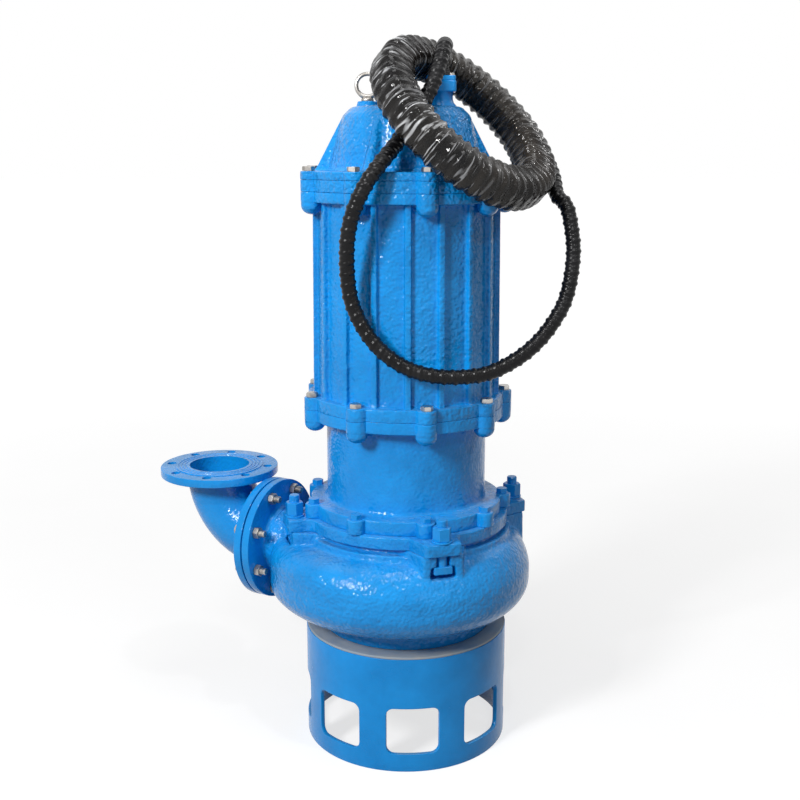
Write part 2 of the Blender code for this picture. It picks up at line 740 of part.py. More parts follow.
def elbow():
    face = GASKET_THICKNESS / 2 + GAP
    away, joint = joint_place()
    top = Matrix.Translation(joint + (away + Vector((0, 0, 1))) * ELBOW_FACE) @ Matrix.Rotation(
        math.radians(DISCHARGE_ANGLE), 4, "Z"
    )
    body = from_bmesh("discharge_elbow", bend_tube("elbow_tube", PIPE_RADIUS, -GAP), blue())

    def flanges(bm):
        add_rod(bm, joint_frame(), FLANGE_RADIUS, face, face + FLANGE_THICKNESS, FLANGE_STEPS)
        add_rod(bm, top, FLANGE_RADIUS, -RAISED_HEIGHT - FLANGE_THICKNESS, -RAISED_HEIGHT, FLANGE_STEPS)

    def holes(bm):
        add_flange_holes(bm, joint_frame(), -OVERRUN, face + FLANGE_THICKNESS + OVERRUN)
        add_flange_holes(bm, top, -RAISED_HEIGHT - FLANGE_THICKNESS - OVERRUN, OVERRUN)

    join(body, tool("elbow_flanges", flanges))

    def raised_face(bm):
        add_rod(bm, top, RAISED_RADIUS, -FLANGE_THICKNESS, 0, FLANGE_STEPS)

    join(body, tool("elbow_raised_face", raised_face))
    cut(body, from_bmesh("elbow_bore", bend_tube("elbow_bore_tube", BORE_RADIUS, OVERRUN)))
    cut(body, tool("elbow_holes", holes))

    gasket = turned(
        "discharge_gasket",
        [
            (RAISED_RADIUS, GASKET_THICKNESS / 2),
            (RAISED_RADIUS, -GASKET_THICKNESS / 2),
            (BORE_RADIUS, -GASKET_THICKNESS / 2),
            (BORE_RADIUS, GASKET_THICKNESS / 2),
        ],
        black(),
        steps=FLANGE_STEPS,
    )
    gasket.matrix_local = joint_frame()

    outer = face + FLANGE_THICKNESS + GAP
    bolt = finished(bolt_blank("discharge_bolt_blank", -outer, outer, BOLT_HEAD_HEIGHT, nut=True))
    for i, angle in enumerate(hole_angles()):
        piece = add_object(f"discharge_bolt_{i + 1}", bolt, steel())
        piece.matrix_local = joint_frame() @ around(angle, FLANGE_PITCH_RADIUS)


def bolt_blank(name, low, high, head, nut=False):
    """A hexagon bolt along Z: its head above high, its shank down to low, and a nut with a stud end below."""
    bm = bmesh.new()
    add_hex(bm, Matrix.Identity(4), BOLT_WIDTH, high, high + head)
    blank = from_bmesh(name, bm)

    def shank(shaft):
        end = low - STUD_LENGTH if nut else low
        add_rod(shaft, Matrix.Identity(4), BOLT_RADIUS, end, high + head / 2, sides=BOLT_SIDES)

    join(blank, tool(name + "_shank", shank))
    if nut:
        nut_place = Matrix.Identity(4)
        join(blank, tool(name + "_nut", lambda bm: add_hex(bm, nut_place, BOLT_WIDTH, low - NUT_HEIGHT, low)))
    return blank


def casing_cover():
    top = CLAMP_FACE + COVER_THICKNESS
    spigot = NECK_BORE_RADIUS * math.cos(math.pi / VOLUTE_STEPS) - GAP
    cup = COVER_CUP_RADIUS
    cover = turned(
        "casing_cover",
        [
            (COVER_RADIUS, top),
            (COVER_RADIUS, CLAMP_FACE),
            (spigot, CLAMP_FACE),
            (spigot, COVER_SPIGOT_LOW),
            (cup, COVER_CUP_LOW),
            (COVER_BORE_RADIUS, COVER_CUP_LOW),
            (COVER_BORE_RADIUS, COVER_CUP_LOW + COVER_SPIGOT_WALL),
            (cup - COVER_SPIGOT_WALL, COVER_CUP_LOW + COVER_SPIGOT_WALL),
            (cup - COVER_SPIGOT_WALL, top),
        ],
        blue(),
    )

    def lugs(bm):
        half = LUG_WIDTH / 2
        root = LUG_ROOT_WIDTH / 2
        outline = [(LUG_ROOT_RADIUS, -root), (LUG_OUTER, -half), (LUG_OUTER, half), (LUG_ROOT_RADIUS, half)]
        for angle in angles(LUG_COUNT, LUG_FIRST):
            add_prism(bm, around(angle, 0, CLAMP_FACE + COVER_THICKNESS / 2), outline, COVER_THICKNESS)

    def holes(bm):
        radius = TEE_BOLT_RADIUS + 2 * GAP
        for angle in angles(LUG_COUNT, LUG_FIRST):
            add_rod(bm, around(angle, TEE_BOLT_PLACE), radius, CLAMP_FACE - OVERRUN, top + OVERRUN, TEE_SIDES)

    join(cover, tool("cover_lugs", lugs))
    cut(cover, tool("cover_lug_holes", holes))

    head_top = SLOT_LEDGE - GAP
    bm = bmesh.new()
    head_place = Matrix.Translation((0, 0, head_top - TEE_HEAD_HEIGHT / 2))
    add_box(bm, head_place, (TEE_HEAD_DEPTH, TEE_HEAD_WIDTH, TEE_HEAD_HEIGHT))
    blank = from_bmesh("tee_bolt_blank", bm)
    here = Matrix.Identity(4)
    shank_low = head_top - SUNK
    seat = top + GAP
    nut_low = seat + TEE_WASHER_HEIGHT
    join(
        blank,
        tool("tee_shank", lambda bm: add_rod(bm, here, TEE_BOLT_RADIUS, shank_low, TEE_BOLT_TOP, TEE_SIDES)),
        tool("tee_washer", lambda bm: add_rod(bm, here, TEE_WASHER_RADIUS, seat, nut_low)),
        tool("tee_nut", lambda bm: add_hex(bm, here, TEE_NUT_WIDTH, nut_low - GAP, nut_low + TEE_NUT_HEIGHT)),
    )
    mesh = finished(blank)
    for i, angle in enumerate(angles(LUG_COUNT, LUG_FIRST)):
        add_object(f"tee_bolt_{i + 1}", mesh, blue()).matrix_local = around(angle, TEE_BOLT_PLACE)


def seal_housing():
    low = CLAMP_FACE + COVER_THICKNESS + GAP
    flange = low + HOUSING_FLANGE_HEIGHT
    seat = LOWER_OUTER_RADIUS + GAP
    ledge = LOWER_OUTER_RADIUS - (LOWER_OUTER_RADIUS - LOWER_BORE_RADIUS) * RING_WALL_SHARE
    fillet = [
        (
            HOUSING_RADIUS + HOUSING_FILLET * (1 - math.sin(turn)),
            flange + HOUSING_FILLET * (1 - math.cos(turn)),
        )
        for turn in (math.pi / 2, math.pi / 4, 0)
    ]
    body = turned(
        "seal_housing",
        [
            (FLANGE_BODY_RADIUS, HOUSING_HIGH),
            (FLANGE_BODY_RADIUS, HOUSING_TOP_FLANGE_LOW),
            (HOUSING_RADIUS, HOUSING_TOP_FLANGE_LOW),
            *fillet,
            (HOUSING_FLANGE_RADIUS, flange),
            (HOUSING_FLANGE_RADIUS, low),
            (SEAL_SEAT_RADIUS + GAP, low),
            (SEAL_SEAT_RADIUS + GAP, low + HOUSING_FLOOR),
            (HOUSING_CAVITY_RADIUS, low + HOUSING_FLOOR),
            (HOUSING_CAVITY_RADIUS, HOUSING_CEILING),
            (ledge, HOUSING_CEILING),
            (ledge, LOWER_LOW - GAP),
            (seat, LOWER_LOW - GAP),
            (seat, HOUSING_HIGH),
        ],
        blue(),
    )

    def feet(bm):
        for angle in angles(BOLT_COUNT, HOUSING_BOSS_FIRST):
            add_rod(bm, around(angle, HOUSING_BOSS_PLACE), HOUSING_BOSS_RADIUS, low, flange + GAP, BOSS_SIDES)

    def painted_bolts(bm):
        for angle in angles(BOLT_COUNT, HOUSING_BOSS_FIRST):
            bolt_place = around(angle, HOUSING_BOSS_PLACE)
            add_hex(bm, bolt_place, BOLT_WIDTH, flange - SUNK, flange + HOUSING_BOLT_HEIGHT)

    def bosses(bm):
        for angle in angles(BOLT_COUNT, FRAME_BOLT_FIRST):
            boss_low = HOUSING_TOP_FLANGE_LOW - BOSS_REACH
            add_boss(bm, around(angle, BOSS_PLACE), BOSS_RADIUS, boss_low, HOUSING_HIGH)

    added = [tool("housing_feet", feet), tool("housing_bolts", painted_bolts)]
    join(body, *added, tool("housing_bosses", bosses))
    hole_high = HOUSING_HIGH + OVERRUN
    hole_low = HOUSING_TOP_FLANGE_LOW
    cut(body, tool("housing_bolt_holes", lambda bm: add_bolt_holes(bm, hole_low, hole_high)))


def add_bolt_holes(bm, low, high):
    for angle in angles(BOLT_COUNT, FRAME_BOLT_FIRST):
        add_rod(bm, around(angle, BOLT_PLACE), BOLT_HOLE_RADIUS, low, high, HOLE_SIDES)


def add_pads(bm, low, high):
    """The plain stretches of the bosses, where they pass a flange."""
    for angle in angles(BOLT_COUNT, FRAME_BOLT_FIRST):
        add_rod(bm, around(angle, BOSS_PLACE), BOSS_RADIUS, low, high, BOSS_SIDES)


def hex_bolts(name, low, seat, material):
    bolt = finished(bolt_blank(name + "_blank", low, seat + GAP, BOLT_HEAD_HEIGHT))
    for i, angle in enumerate(angles(BOLT_COUNT, FRAME_BOLT_FIRST)):
        add_object(f"{name}_{i + 1}", bolt, material).matrix_local = around(angle, BOLT_PLACE)


def motor_frame():
    low = HOUSING_HIGH + GAP
    base = low + FRAME_BASE_HEIGHT
    frame = turned(
        "motor_frame",
        [
            (FLANGE_BODY_RADIUS, FRAME_HIGH),
            (FLANGE_BODY_RADIUS, FRAME_TOP_FLANGE_LOW),
            (FRAME_BODY_TOP_RADIUS, FRAME_TOP_FLANGE_LOW),
            (FRAME_BODY_RADIUS, base),
            (FLANGE_BODY_RADIUS, base),
            (FLANGE_BODY_RADIUS, low),
            (FRAME_BORE_RADIUS, low),
            (FRAME_BORE_RADIUS, FRAME_HIGH),
        ],
        blue(),
    )

    def ribs(bm):
        sunk = SUNK + FRAME_BODY_RADIUS - FRAME_BODY_TOP_RADIUS
        lower, upper = base - SUNK, FRAME_TOP_FLANGE_LOW + SUNK
        outline = [
            (FRAME_BODY_TOP_RADIUS - sunk, lower),
            (FRAME_BODY_RADIUS + RIB_HEIGHT, lower),
            (FRAME_BODY_TOP_RADIUS + RIB_HEIGHT, upper),
            (FRAME_BODY_TOP_RADIUS - sunk, upper),
        ]
        for angle in angles(RIB_COUNT, RIB_FIRST):
            add_prism(bm, around(angle) @ Matrix.Rotation(math.pi / 2, 4, "X"), outline, RIB_WIDTH)

    def bosses(bm):
        add_pads(bm, low, base)
        for angle in angles(BOLT_COUNT, FRAME_BOLT_FIRST):
            boss_low = FRAME_TOP_FLANGE_LOW - BOSS_REACH
            add_boss(bm, around(angle, BOSS_PLACE), BOSS_RADIUS, boss_low, FRAME_HIGH)

    def holes(bm):
        add_bolt_holes(bm, low - OVERRUN, base + OVERRUN)
        add_bolt_holes(bm, FRAME_TOP_FLANGE_LOW, FRAME_HIGH + OVERRUN)

    join(frame, tool("frame_ribs", ribs), tool("frame_bosses", bosses))
    cut(frame, tool("frame_bolt_holes", holes))
    hex_bolts("base_bolt", HOUSING_TOP_FLANGE_LOW + OVERRUN, base, steel())


def end_shield():
    low = FRAME_HIGH + GAP
    high = FRAME_HIGH + SHIELD_THICKNESS
    seat = UPPER_OUTER_RADIUS + GAP
    ledge = UPPER_OUTER_RADIUS - (UPPER_OUTER_RADIUS - UPPER_BORE_RADIUS) * RING_WALL_SHARE
    shield = turned(
        "upper_end_shield",
        [
            (FLANGE_BODY_RADIUS, high),
            (FLANGE_BODY_RADIUS, low),
            (SHIELD_HUB_RADIUS, low),
            (SHIELD_HUB_RADIUS, SHIELD_HUB_LOW),
            (ledge, SHIELD_HUB_LOW),
            (ledge, UPPER_LOW - GAP),
            (seat, UPPER_LOW - GAP),
            (seat, high),
        ],
        blue(),
    )
    join(shield, tool("shield_pads", lambda bm: add_pads(bm, low, high)))
    cut(shield, tool("shield_holes", lambda bm: add_bolt_holes(bm, low - OVERRUN, high + OVERRUN)))


def top_cover():
    low = FRAME_HIGH + SHIELD_THICKNESS + GAP
    flange = low + TOP_FLANGE_THICKNESS
    wall = DOME_WALL
    cover = turned(
        "top_cover",
        [
            (0, DOME_HIGH),
            (DOME_TOP_RADIUS, DOME_HIGH),
            (DOME_SHOULDER_RADIUS, DOME_SHOULDER_HIGH),
            (DOME_BASE_RADIUS, flange),
            (FLANGE_BODY_RADIUS, flange),
            (FLANGE_BODY_RADIUS, low),
            (DOME_BASE_RADIUS - wall, low),
            (DOME_BASE_RADIUS - wall, flange),
            (DOME_SHOULDER_RADIUS - wall, DOME_SHOULDER_HIGH - wall),
            (DOME_TOP_RADIUS - wall, DOME_HIGH - wall),
            (0, DOME_HIGH - wall),
        ],
        blue(),
        ring=False,
    )

    def ribs(bm):
        outline = [
            (DOME_BASE_RADIUS - wall / 2, flange - SUNK),
            (DOME_BASE_RADIUS + DOME_RIB_FOOT, flange - SUNK),
            (DOME_SHOULDER_RADIUS, DOME_SHOULDER_HIGH - SUNK),
            (DOME_SHOULDER_RADIUS - wall / 2, DOME_SHOULDER_HIGH - SUNK),
        ]
        for angle in angles(DOME_RIB_COUNT, DOME_RIB_FIRST):
            add_prism(bm, around(angle) @ Matrix.Rotation(math.pi / 2, 4, "X"), outline, DOME_RIB_WIDTH)

    def fittings(bm):
        for angle in EYE_ANGLES.values():
            pad_place = around(angle, EYE_PLACE)
            add_rod(bm, pad_place, EYE_PAD_RADIUS, DOME_HIGH - wall, DOME_HIGH + EYE_PAD_HEIGHT)

    def eye_holes(bm):
        top = DOME_HIGH + EYE_PAD_HEIGHT
        for angle in EYE_ANGLES.values():
            low_end = top - EYE_SHANK_LENGTH - GAP
            hole_place = around(angle, EYE_PLACE)
            add_rod(bm, hole_place, EYE_SHANK_RADIUS + GAP, low_end, top + OVERRUN, EYE_SHANK_SIDES)

    def pads(bm):
        add_pads(bm, low, flange)

    def bolt_holes(bm):
        add_bolt_holes(bm, low - OVERRUN, flange + OVERRUN)

    join(cover, tool("dome_ribs", ribs), tool("cover_pads", pads), tool("eye_pads", fittings))
    cut(cover, tool("cover_bolt_holes", bolt_holes), tool("eye_holes", eye_holes))
    hex_bolts("cover_bolt", FRAME_TOP_FLANGE_LOW + OVERRUN, flange, steel())


def lifting_eyes():
    """Two eye bolts whose rings face the front."""
    seat = DOME_HIGH + EYE_PAD_HEIGHT + GAP
    centre = seat + EYE_COLLAR_HEIGHT + EYE_RING_RADIUS + EYE_WIRE_RADIUS / 2
    bm = bmesh.new()
    loops = []
    sides, steps = EYE_WIRE_SIDES, EYE_RING_STEPS
    for i in range(steps):
        turn = Matrix.Rotation(2 * math.pi * i / steps, 4, "Y")
        ring = []
        for j in range(sides):
            around_wire = 2 * math.pi * j / sides
            x = EYE_RING_RADIUS + EYE_WIRE_RADIUS * math.cos(around_wire)
            y = EYE_WIRE_RADIUS * math.sin(around_wire)
            ring.append(bm.verts.new(turn @ Vector((x, y, 0)) + Vector((0, 0, centre))))
        loops.append(ring)
    skin(bm, loops, closed=True)
    blank = from_bmesh("eye_blank", bm)
    here = Matrix.Identity(4)
    collar_top = seat + EYE_COLLAR_HEIGHT
    stem_low = seat - EYE_SHANK_LENGTH
    stem_top = collar_top + SUNK
    join(
        blank,
        tool("eye_collar", lambda bm: add_rod(bm, here, EYE_COLLAR_RADIUS, seat, collar_top)),
        tool("eye_stem", lambda bm: add_rod(bm, here, EYE_SHANK_RADIUS, stem_low, stem_top, EYE_SHANK_SIDES)),
    )
    mesh = finished(blank)
    for name, angle in EYE_ANGLES.items():
        add_object(name, mesh, steel()).location = around(angle, EYE_PLACE).translation


def cable_gland():
    """The square stuffing box that the conduit comes out of, on its round neck."""
    bm = bmesh.new()
    place = Matrix.Translation((GLAND_PLACE, -GLAND_FORWARD, (GLAND_LOW + GLAND_HIGH) / 2))
    add_box(bm, place, (GLAND_WIDTH, GLAND_DEPTH, GLAND_HIGH - GLAND_LOW))
    upright = [e for e in bm.edges if abs(e.calc_length() - (GLAND_HIGH - GLAND_LOW)) < MM / 10]
    bmesh.ops.bevel(bm, geom=upright, offset=GLAND_CORNER, segments=2, profile=0.5, affect="EDGES")
    body = from_bmesh("cable_gland", bm, blue())

    def neck(bm):
        here = Matrix.Translation((GLAND_PLACE, -GLAND_FORWARD, 0))
        add_rod(bm, here, GLAND_NECK_RADIUS, DOME_HIGH + GAP, GLAND_LOW + SUNK, NECK_SIDES)

    join(body, tool("gland_neck", neck))


def smooth_route(points, count):
    """Evenly spaced points on a Catmull-Rom curve through the route's points."""
    knots = [Vector(p) for p in points]
    knots = [2 * knots[0] - knots[1], *knots, 2 * knots[-1] - knots[-2]]
    fine = []
    for a, b, c, d in zip(knots, knots[1:], knots[2:], knots[3:]):
        for i in range(ROUTE_STEPS):
            t = i / ROUTE_STEPS
            square = (a * 2 - b * 5 + c * 4 - d) * t * t
            fine.append((b * 2 + (c - a) * t + square + (b * 3 - a - c * 3 + d) * t**3) / 2)
    fine.append(knots[-2])
    runs = [0.0]
    for a, b in zip(fine, fine[1:]):
        runs.append(runs[-1] + (b - a).length)
    result = []
    k = 0
    for i in range(count):
        want = runs[-1] * i / (count - 1)
        while k < len(runs) - 2 and runs[k + 1] < want:
            k += 1
        share = (want - runs[k]) / (runs[k + 1] - runs[k])
        result.append(fine[k].lerp(fine[k + 1], min(share, 1.0)))
    return result


def cable():
    curve = bpy.data.curves.new("cable_run", "CURVE")
    curve.dimensions = "3D"
    curve.bevel_depth = CABLE_RADIUS
    curve.bevel_resolution = CABLE_SIDES_RESOLUTION
    curve.use_fill_caps = True
    spline = curve.splines.new("POLY")
    points = [CABLE_START, *smooth_route(CABLE_ROUTE, CABLE_STEPS)]
    spline.points.add(len(points) - 1)
    for point, place in zip(spline.points, points):
        point.co = (*place, 1)
    curve.materials.append(black())
    add_object("cable_run", curve, black())

    profile = []
    for i in range(COIL_SIDES):
        turn = -2 * math.pi * i / COIL_SIDES
        along, up = COIL_BUNDLE_RADIUS * math.cos(turn), COIL_BUNDLE_RADIUS * math.sin(turn)
        profile.append((COIL_RADIUS + along, up))
    coil = turned("cable_coil", profile, black(), steps=COIL_STEPS)
    coil.location = COIL_CENTRE
    coil.rotation_euler = Euler((0, math.radians(COIL_TILT), math.radians(COIL_TURN)))


def bearing(name, low, width, bore, outside):
    """A deep-groove ball bearing: its two rings, and its balls joined by their cage."""
    space = outside - bore
    wall = space * RING_WALL_SHARE
    high = low + width
    inner = bore + GAP
    outer_ring = [(outside, high), (outside, low), (outside - wall, low), (outside - wall, high)]
    inner_ring = [(bore + wall, high), (bore + wall, low), (inner, low), (inner, high)]
    turned(f"{name}_outer_race", outer_ring, machined())
    turned(f"{name}_inner_race", inner_ring, machined(), SHAFT_STEPS)
    middle = (bore + outside) / 2
    thick = space * CAGE_WALL_SHARE / 2
    tall = width * CAGE_HEIGHT_SHARE / 2
    centre = low + width / 2
    cage = turned(
        f"{name}_ball_cage",
        [
            (middle + thick, centre + tall),
            (middle + thick, centre - tall),
            (middle - thick, centre - tall),
            (middle - thick, centre + tall),
        ],
        machined(),
        2 * BALL_COUNT,
    )

    def balls(bm):
        radius = (space / 2 - wall) * math.cos(math.pi / SHAFT_STEPS) - 2 * GAP
        for i in range(BALL_COUNT):
            matrix = around(360 * i / BALL_COUNT, middle, centre) @ Matrix.Rotation(math.pi / 6, 4, "Z")
            bmesh.ops.create_uvsphere(bm, u_segments=6, v_segments=4, radius=radius, matrix=matrix)

    join(cage, tool(f"{name}_balls", balls))


def stator():
    bore = STATOR_BORE_RADIUS
    outside = FRAME_BORE_RADIUS - GAP
    profile = [(outside, CORE_HIGH), (outside, CORE_LOW), (bore, CORE_LOW), (bore, CORE_HIGH)]
    core = turned("stator_core", profile, iron())

    def bars(bm, clear, low, high):
        size = (BAR_DEPTH + 2 * clear, BAR_WIDTH + 2 * clear, high - low)
        for angle in angles(SLOT_COUNT, 360 / SLOT_COUNT / 2):
            add_box(bm, around(angle, BAR_PLACE, (low + high) / 2), size)

    cut(core, tool("core_slots", lambda bm: bars(bm, GAP, CORE_LOW - OVERRUN, CORE_HIGH + OVERRUN)))
    rise = CORE_HIGH + GAP
    high = rise + HEAD_HEIGHT
    head = [(HEAD_OUTER, high), (HEAD_OUTER, rise), (HEAD_INNER, rise), (HEAD_INNER, high)]
    foot = CORE_LOW - GAP - HEAD_HEIGHT
    winding = turned("stator_winding", head, copper())
    lower = turned("winding_foot", [(r, z - rise + foot) for r, z in head])
    join(winding, tool("winding_bars", lambda bm: bars(bm, 0, foot + SUNK, rise + SUNK)), lower)


def rotor():
    tip, mid, seal = SHAFT_TIP_RADIUS, SHAFT_IMPELLER_RADIUS, SHAFT_SEAL_RADIUS
    lower_high = LOWER_LOW + LOWER_WIDTH
    turned(
        "pump_shaft",
        [
            (0, SHAFT_HIGH),
            (UPPER_BORE_RADIUS, SHAFT_HIGH),
            (UPPER_BORE_RADIUS, UPPER_LOW - GAP),
            (ROTOR_BORE_RADIUS, UPPER_LOW - GAP - ROTOR_BORE_RADIUS + UPPER_BORE_RADIUS),
            (ROTOR_BORE_RADIUS, lower_high + GAP),
            (LOWER_BORE_RADIUS, lower_high + GAP),
            (LOWER_BORE_RADIUS, LOWER_LOW - SUNK),
            (seal, LOWER_LOW - SUNK),
            (seal, IMPELLER_HIGH + GAP),
            (mid, IMPELLER_HIGH + GAP),
            (mid, AGITATOR_HIGH + GAP),
            (tip, AGITATOR_HIGH + GAP),
            (tip, SHAFT_LOW),
            (0, SHAFT_LOW),
        ],
        machined(),
        SHAFT_STEPS,
        ring=False,
    )
    outside = STATOR_BORE_RADIUS * math.cos(math.pi / ROUND_STEPS) - AIR_GAP
    bore = ROTOR_BORE_RADIUS / math.cos(math.pi / SHAFT_STEPS) + GAP
    profile = [(outside, CORE_HIGH), (outside, CORE_LOW), (bore, CORE_LOW), (bore, CORE_HIGH)]
    turned("rotor_core", profile, iron())

    floor = CLAMP_FACE + COVER_THICKNESS + 2 * GAP
    seat_high = floor + HOUSING_FLOOR
    clear = seal / math.cos(math.pi / SHAFT_STEPS) + 2 * GAP
    seat_radius = SEAL_SEAT_RADIUS * math.cos(math.pi / ROUND_STEPS)
    seat_ring = [(seat_radius, seat_high), (seat_radius, floor), (clear, floor), (clear, seat_high)]
    turned("seal_seat", seat_ring, ceramic(), SHAFT_STEPS)
    face = seat_high + GAP
    step = face + SEAL_HEAD_RADIUS / 2
    fit = seal / math.cos(math.pi / SHAFT_STEPS) + GAP
    turned(
        "seal_head",
        [
            (SEAL_HEAD_RADIUS, SEAL_HEAD_HIGH),
            (SEAL_HEAD_RADIUS, step),
            ((SEAL_HEAD_RADIUS + seal) / 2, step),
            ((SEAL_HEAD_RADIUS + seal) / 2, face),
            (fit, face),
            (fit, SEAL_HEAD_HIGH),
        ],
        machined(),
        SHAFT_STEPS,
    )

    nut_low = NUT_LOW
    nut_high = AGITATOR_LOW - GAP
    bm = bmesh.new()
    add_hex(bm, Matrix.Identity(4), NUT_WIDTH, nut_low, nut_high)
    nut = from_bmesh("agitator_nut", bm, steel())
    hole = tip / math.cos(math.pi / SHAFT_STEPS) + GAP

    def nut_hole(bm):
        add_rod(bm, Matrix.Identity(4), hole, nut_low - OVERRUN, nut_high + OVERRUN, SHAFT_STEPS)

    cut(nut, tool("nut_hole", nut_hole))


def impeller():
    """Two shrouds with backward-curved vanes between them, on a hub."""
    bore = SHAFT_IMPELLER_RADIUS / math.cos(math.pi / SHAFT_STEPS) + GAP
    low, high, shroud = IMPELLER_LOW, IMPELLER_HIGH, IMPELLER_SHROUD
    wheel = turned(
        "impeller",
        [
            (IMPELLER_RADIUS, high),
            (IMPELLER_RADIUS, high - shroud),
            (IMPELLER_HUB_RADIUS, high - shroud),
            (IMPELLER_HUB_RADIUS * IMPELLER_HUB_SHARE, low + shroud),
            (bore, low + shroud),
            (bore, high),
        ],
        iron(),
    )
    front = turned(
        "impeller_front",
        [
            (IMPELLER_RADIUS, low + shroud),
            (IMPELLER_RADIUS, low),
            (IMPELLER_EYE_RADIUS, low),
            (IMPELLER_EYE_RADIUS, low + shroud),
        ],
    )

    def vanes(bm):
        for i in range(VANE_COUNT):
            inner, outer = [], []
            for k in range(VANE_STEPS + 1):
                share = k / VANE_STEPS
                radius = VANE_INNER + (IMPELLER_RADIUS - SUNK - VANE_INNER) * share
                turn = math.radians(360 * i / VANE_COUNT + VANE_WRAP * share)
                lean = turn + VANE_WALL / radius
                inner.append((radius * math.cos(turn), radius * math.sin(turn)))
                outer.append((radius * math.cos(lean), radius * math.sin(lean)))
            place = Matrix.Translation((0, 0, (low + high) / 2))
            add_prism(bm, place, inner + outer[::-1], high - low - shroud)

    join(wheel, tool("impeller_vanes", vanes), front)

    bm = bmesh.new()
    add_rod(bm, Matrix.Identity(4), AGITATOR_HUB_RADIUS, AGITATOR_LOW, AGITATOR_HIGH, HUB_SIDES)
    agitator = from_bmesh("agitator", bm, iron())

    def blades(bm):
        middle = (AGITATOR_LOW + AGITATOR_HIGH) / 2
        inner = SHAFT_TIP_RADIUS + 2 * SUNK
        tall = (AGITATOR_HIGH - AGITATOR_LOW) * AGITATOR_BLADE_SHARE
        for angle in angles(AGITATOR_BLADES, 0):
            tilt = Matrix.Rotation(math.radians(AGITATOR_TILT), 4, "X")
            place = around(angle, (inner + AGITATOR_REACH) / 2, middle) @ tilt
            add_box(bm, place, (AGITATOR_REACH - inner, AGITATOR_BLADE, tall))

    def bore_tool(bm):
        hole = SHAFT_TIP_RADIUS / math.cos(math.pi / SHAFT_STEPS) + GAP
        add_rod(bm, Matrix.Identity(4), hole, AGITATOR_LOW - OVERRUN, AGITATOR_HIGH + OVERRUN, SHAFT_STEPS)

    join(agitator, tool("agitator_blades", blades))
    cut(agitator, tool("agitator_bore", bore_tool))


def build():
    clear_scene()
    strainer()
    volute()
    elbow()
    casing_cover()
    seal_housing()
    motor_frame()
    end_shield()
    top_cover()
    lifting_eyes()
    cable_gland()
    cable()
    bearing("lower", LOWER_LOW, LOWER_WIDTH, LOWER_BORE_RADIUS, LOWER_OUTER_RADIUS)
    bearing("upper", UPPER_LOW, UPPER_WIDTH, UPPER_BORE_RADIUS, UPPER_OUTER_RADIUS)
    stator()
    rotor()
    impeller()


build()
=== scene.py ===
import math
import random

import bmesh
import bpy
import numpy as np
from mathutils import Matrix, Vector


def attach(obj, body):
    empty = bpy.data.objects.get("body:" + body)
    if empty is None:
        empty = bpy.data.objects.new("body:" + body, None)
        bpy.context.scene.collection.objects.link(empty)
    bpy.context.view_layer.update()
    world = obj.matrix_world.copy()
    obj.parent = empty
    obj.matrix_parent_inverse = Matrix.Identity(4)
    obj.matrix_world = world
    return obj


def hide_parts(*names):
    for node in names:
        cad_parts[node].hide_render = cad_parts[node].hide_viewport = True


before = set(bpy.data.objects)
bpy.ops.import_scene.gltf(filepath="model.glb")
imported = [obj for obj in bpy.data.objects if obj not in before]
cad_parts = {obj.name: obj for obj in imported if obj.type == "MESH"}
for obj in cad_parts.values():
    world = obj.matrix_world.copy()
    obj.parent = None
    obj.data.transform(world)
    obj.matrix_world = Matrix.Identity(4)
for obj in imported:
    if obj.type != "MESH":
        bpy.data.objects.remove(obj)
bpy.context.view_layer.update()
random.seed(11)

mm = 0.001  # shapes and places are worked out in millimetres; meshOf and makeObject turn them into metres
shaftAxis = Vector((154, 11, 0))  # everything turned is built about this line
zAxis = Vector((0, 0, 1))
here = Matrix.Identity(4)
front = -90  # degrees from +X
fullTurn = 2 * math.pi


def setAll(target, **settings):
    for key, value in settings.items():
        setattr(target, key, value)
    return target


def makeObject(name, data, place=shaftAxis):
    obj = bpy.data.objects.new(name, data)
    bpy.context.scene.collection.objects.link(obj)
    obj.location = Vector(place) * mm
    return obj


# Shades a mesh smoothly, with sharp edges from this angle on.
def shadeMesh(mesh, smooth):
    mesh.shade_smooth()
    mesh.set_sharp_from_angle(angle=math.radians(smooth))


def meshOf(name, bm, smooth=35):
    bmesh.ops.recalc_face_normals(bm, faces=bm.faces)
    bmesh.ops.scale(bm, vec=(mm, mm, mm), verts=bm.verts)
    mesh = bpy.data.meshes.new(name)
    bm.to_mesh(mesh)
    bm.free()
    shadeMesh(mesh, smooth)
    return mesh


def shaped(name, bm, smooth=35, place=shaftAxis):
    return makeObject(name, meshOf(name, bm, smooth), place)


# Turns an object's modifiers into plain mesh.
def bakeModifiers(obj):
    bpy.context.view_layer.update()
    fresh = bpy.data.meshes.new_from_object(obj.evaluated_get(bpy.context.evaluated_depsgraph_get()))
    old = obj.data
    obj.modifiers.clear()
    obj.data = fresh
    bpy.data.meshes.remove(old)


# Cuts shapes from an object, or joins them to it, and applies that.
def carve(obj, shapes, operation="DIFFERENCE"):
    tools = [shaped("tool", bm) for bm in shapes]
    for tool in tools:
        setAll(obj.modifiers.new("Cut", "BOOLEAN"), operation=operation, solver="EXACT", object=tool)
    bakeModifiers(obj)
    for tool in tools:
        bpy.data.objects.remove(tool, do_unlink=True)


# Gives a piece its material and hangs it on the pump's body; the slot is not used.
def dressed(obj, material, slot, *nodes, smooth=None):
    if smooth:
        shadeMesh(obj.data, smooth)
    obj.data.materials.clear()
    obj.data.materials.append(material)
    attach(obj, "pump")
    if nodes:
        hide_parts(*nodes)
    return obj


def around(angle, radius=0.0):
    return Matrix.Rotation(math.radians(angle), 4, "Z") @ Matrix.Translation((radius, 0, 0))


def evenAngles(count, first):
    return [front + first + 360 * i / count for i in range(count)]


def atCircle(turns, radius, place=here):
    return [place @ around(turn, radius) for turn in turns]


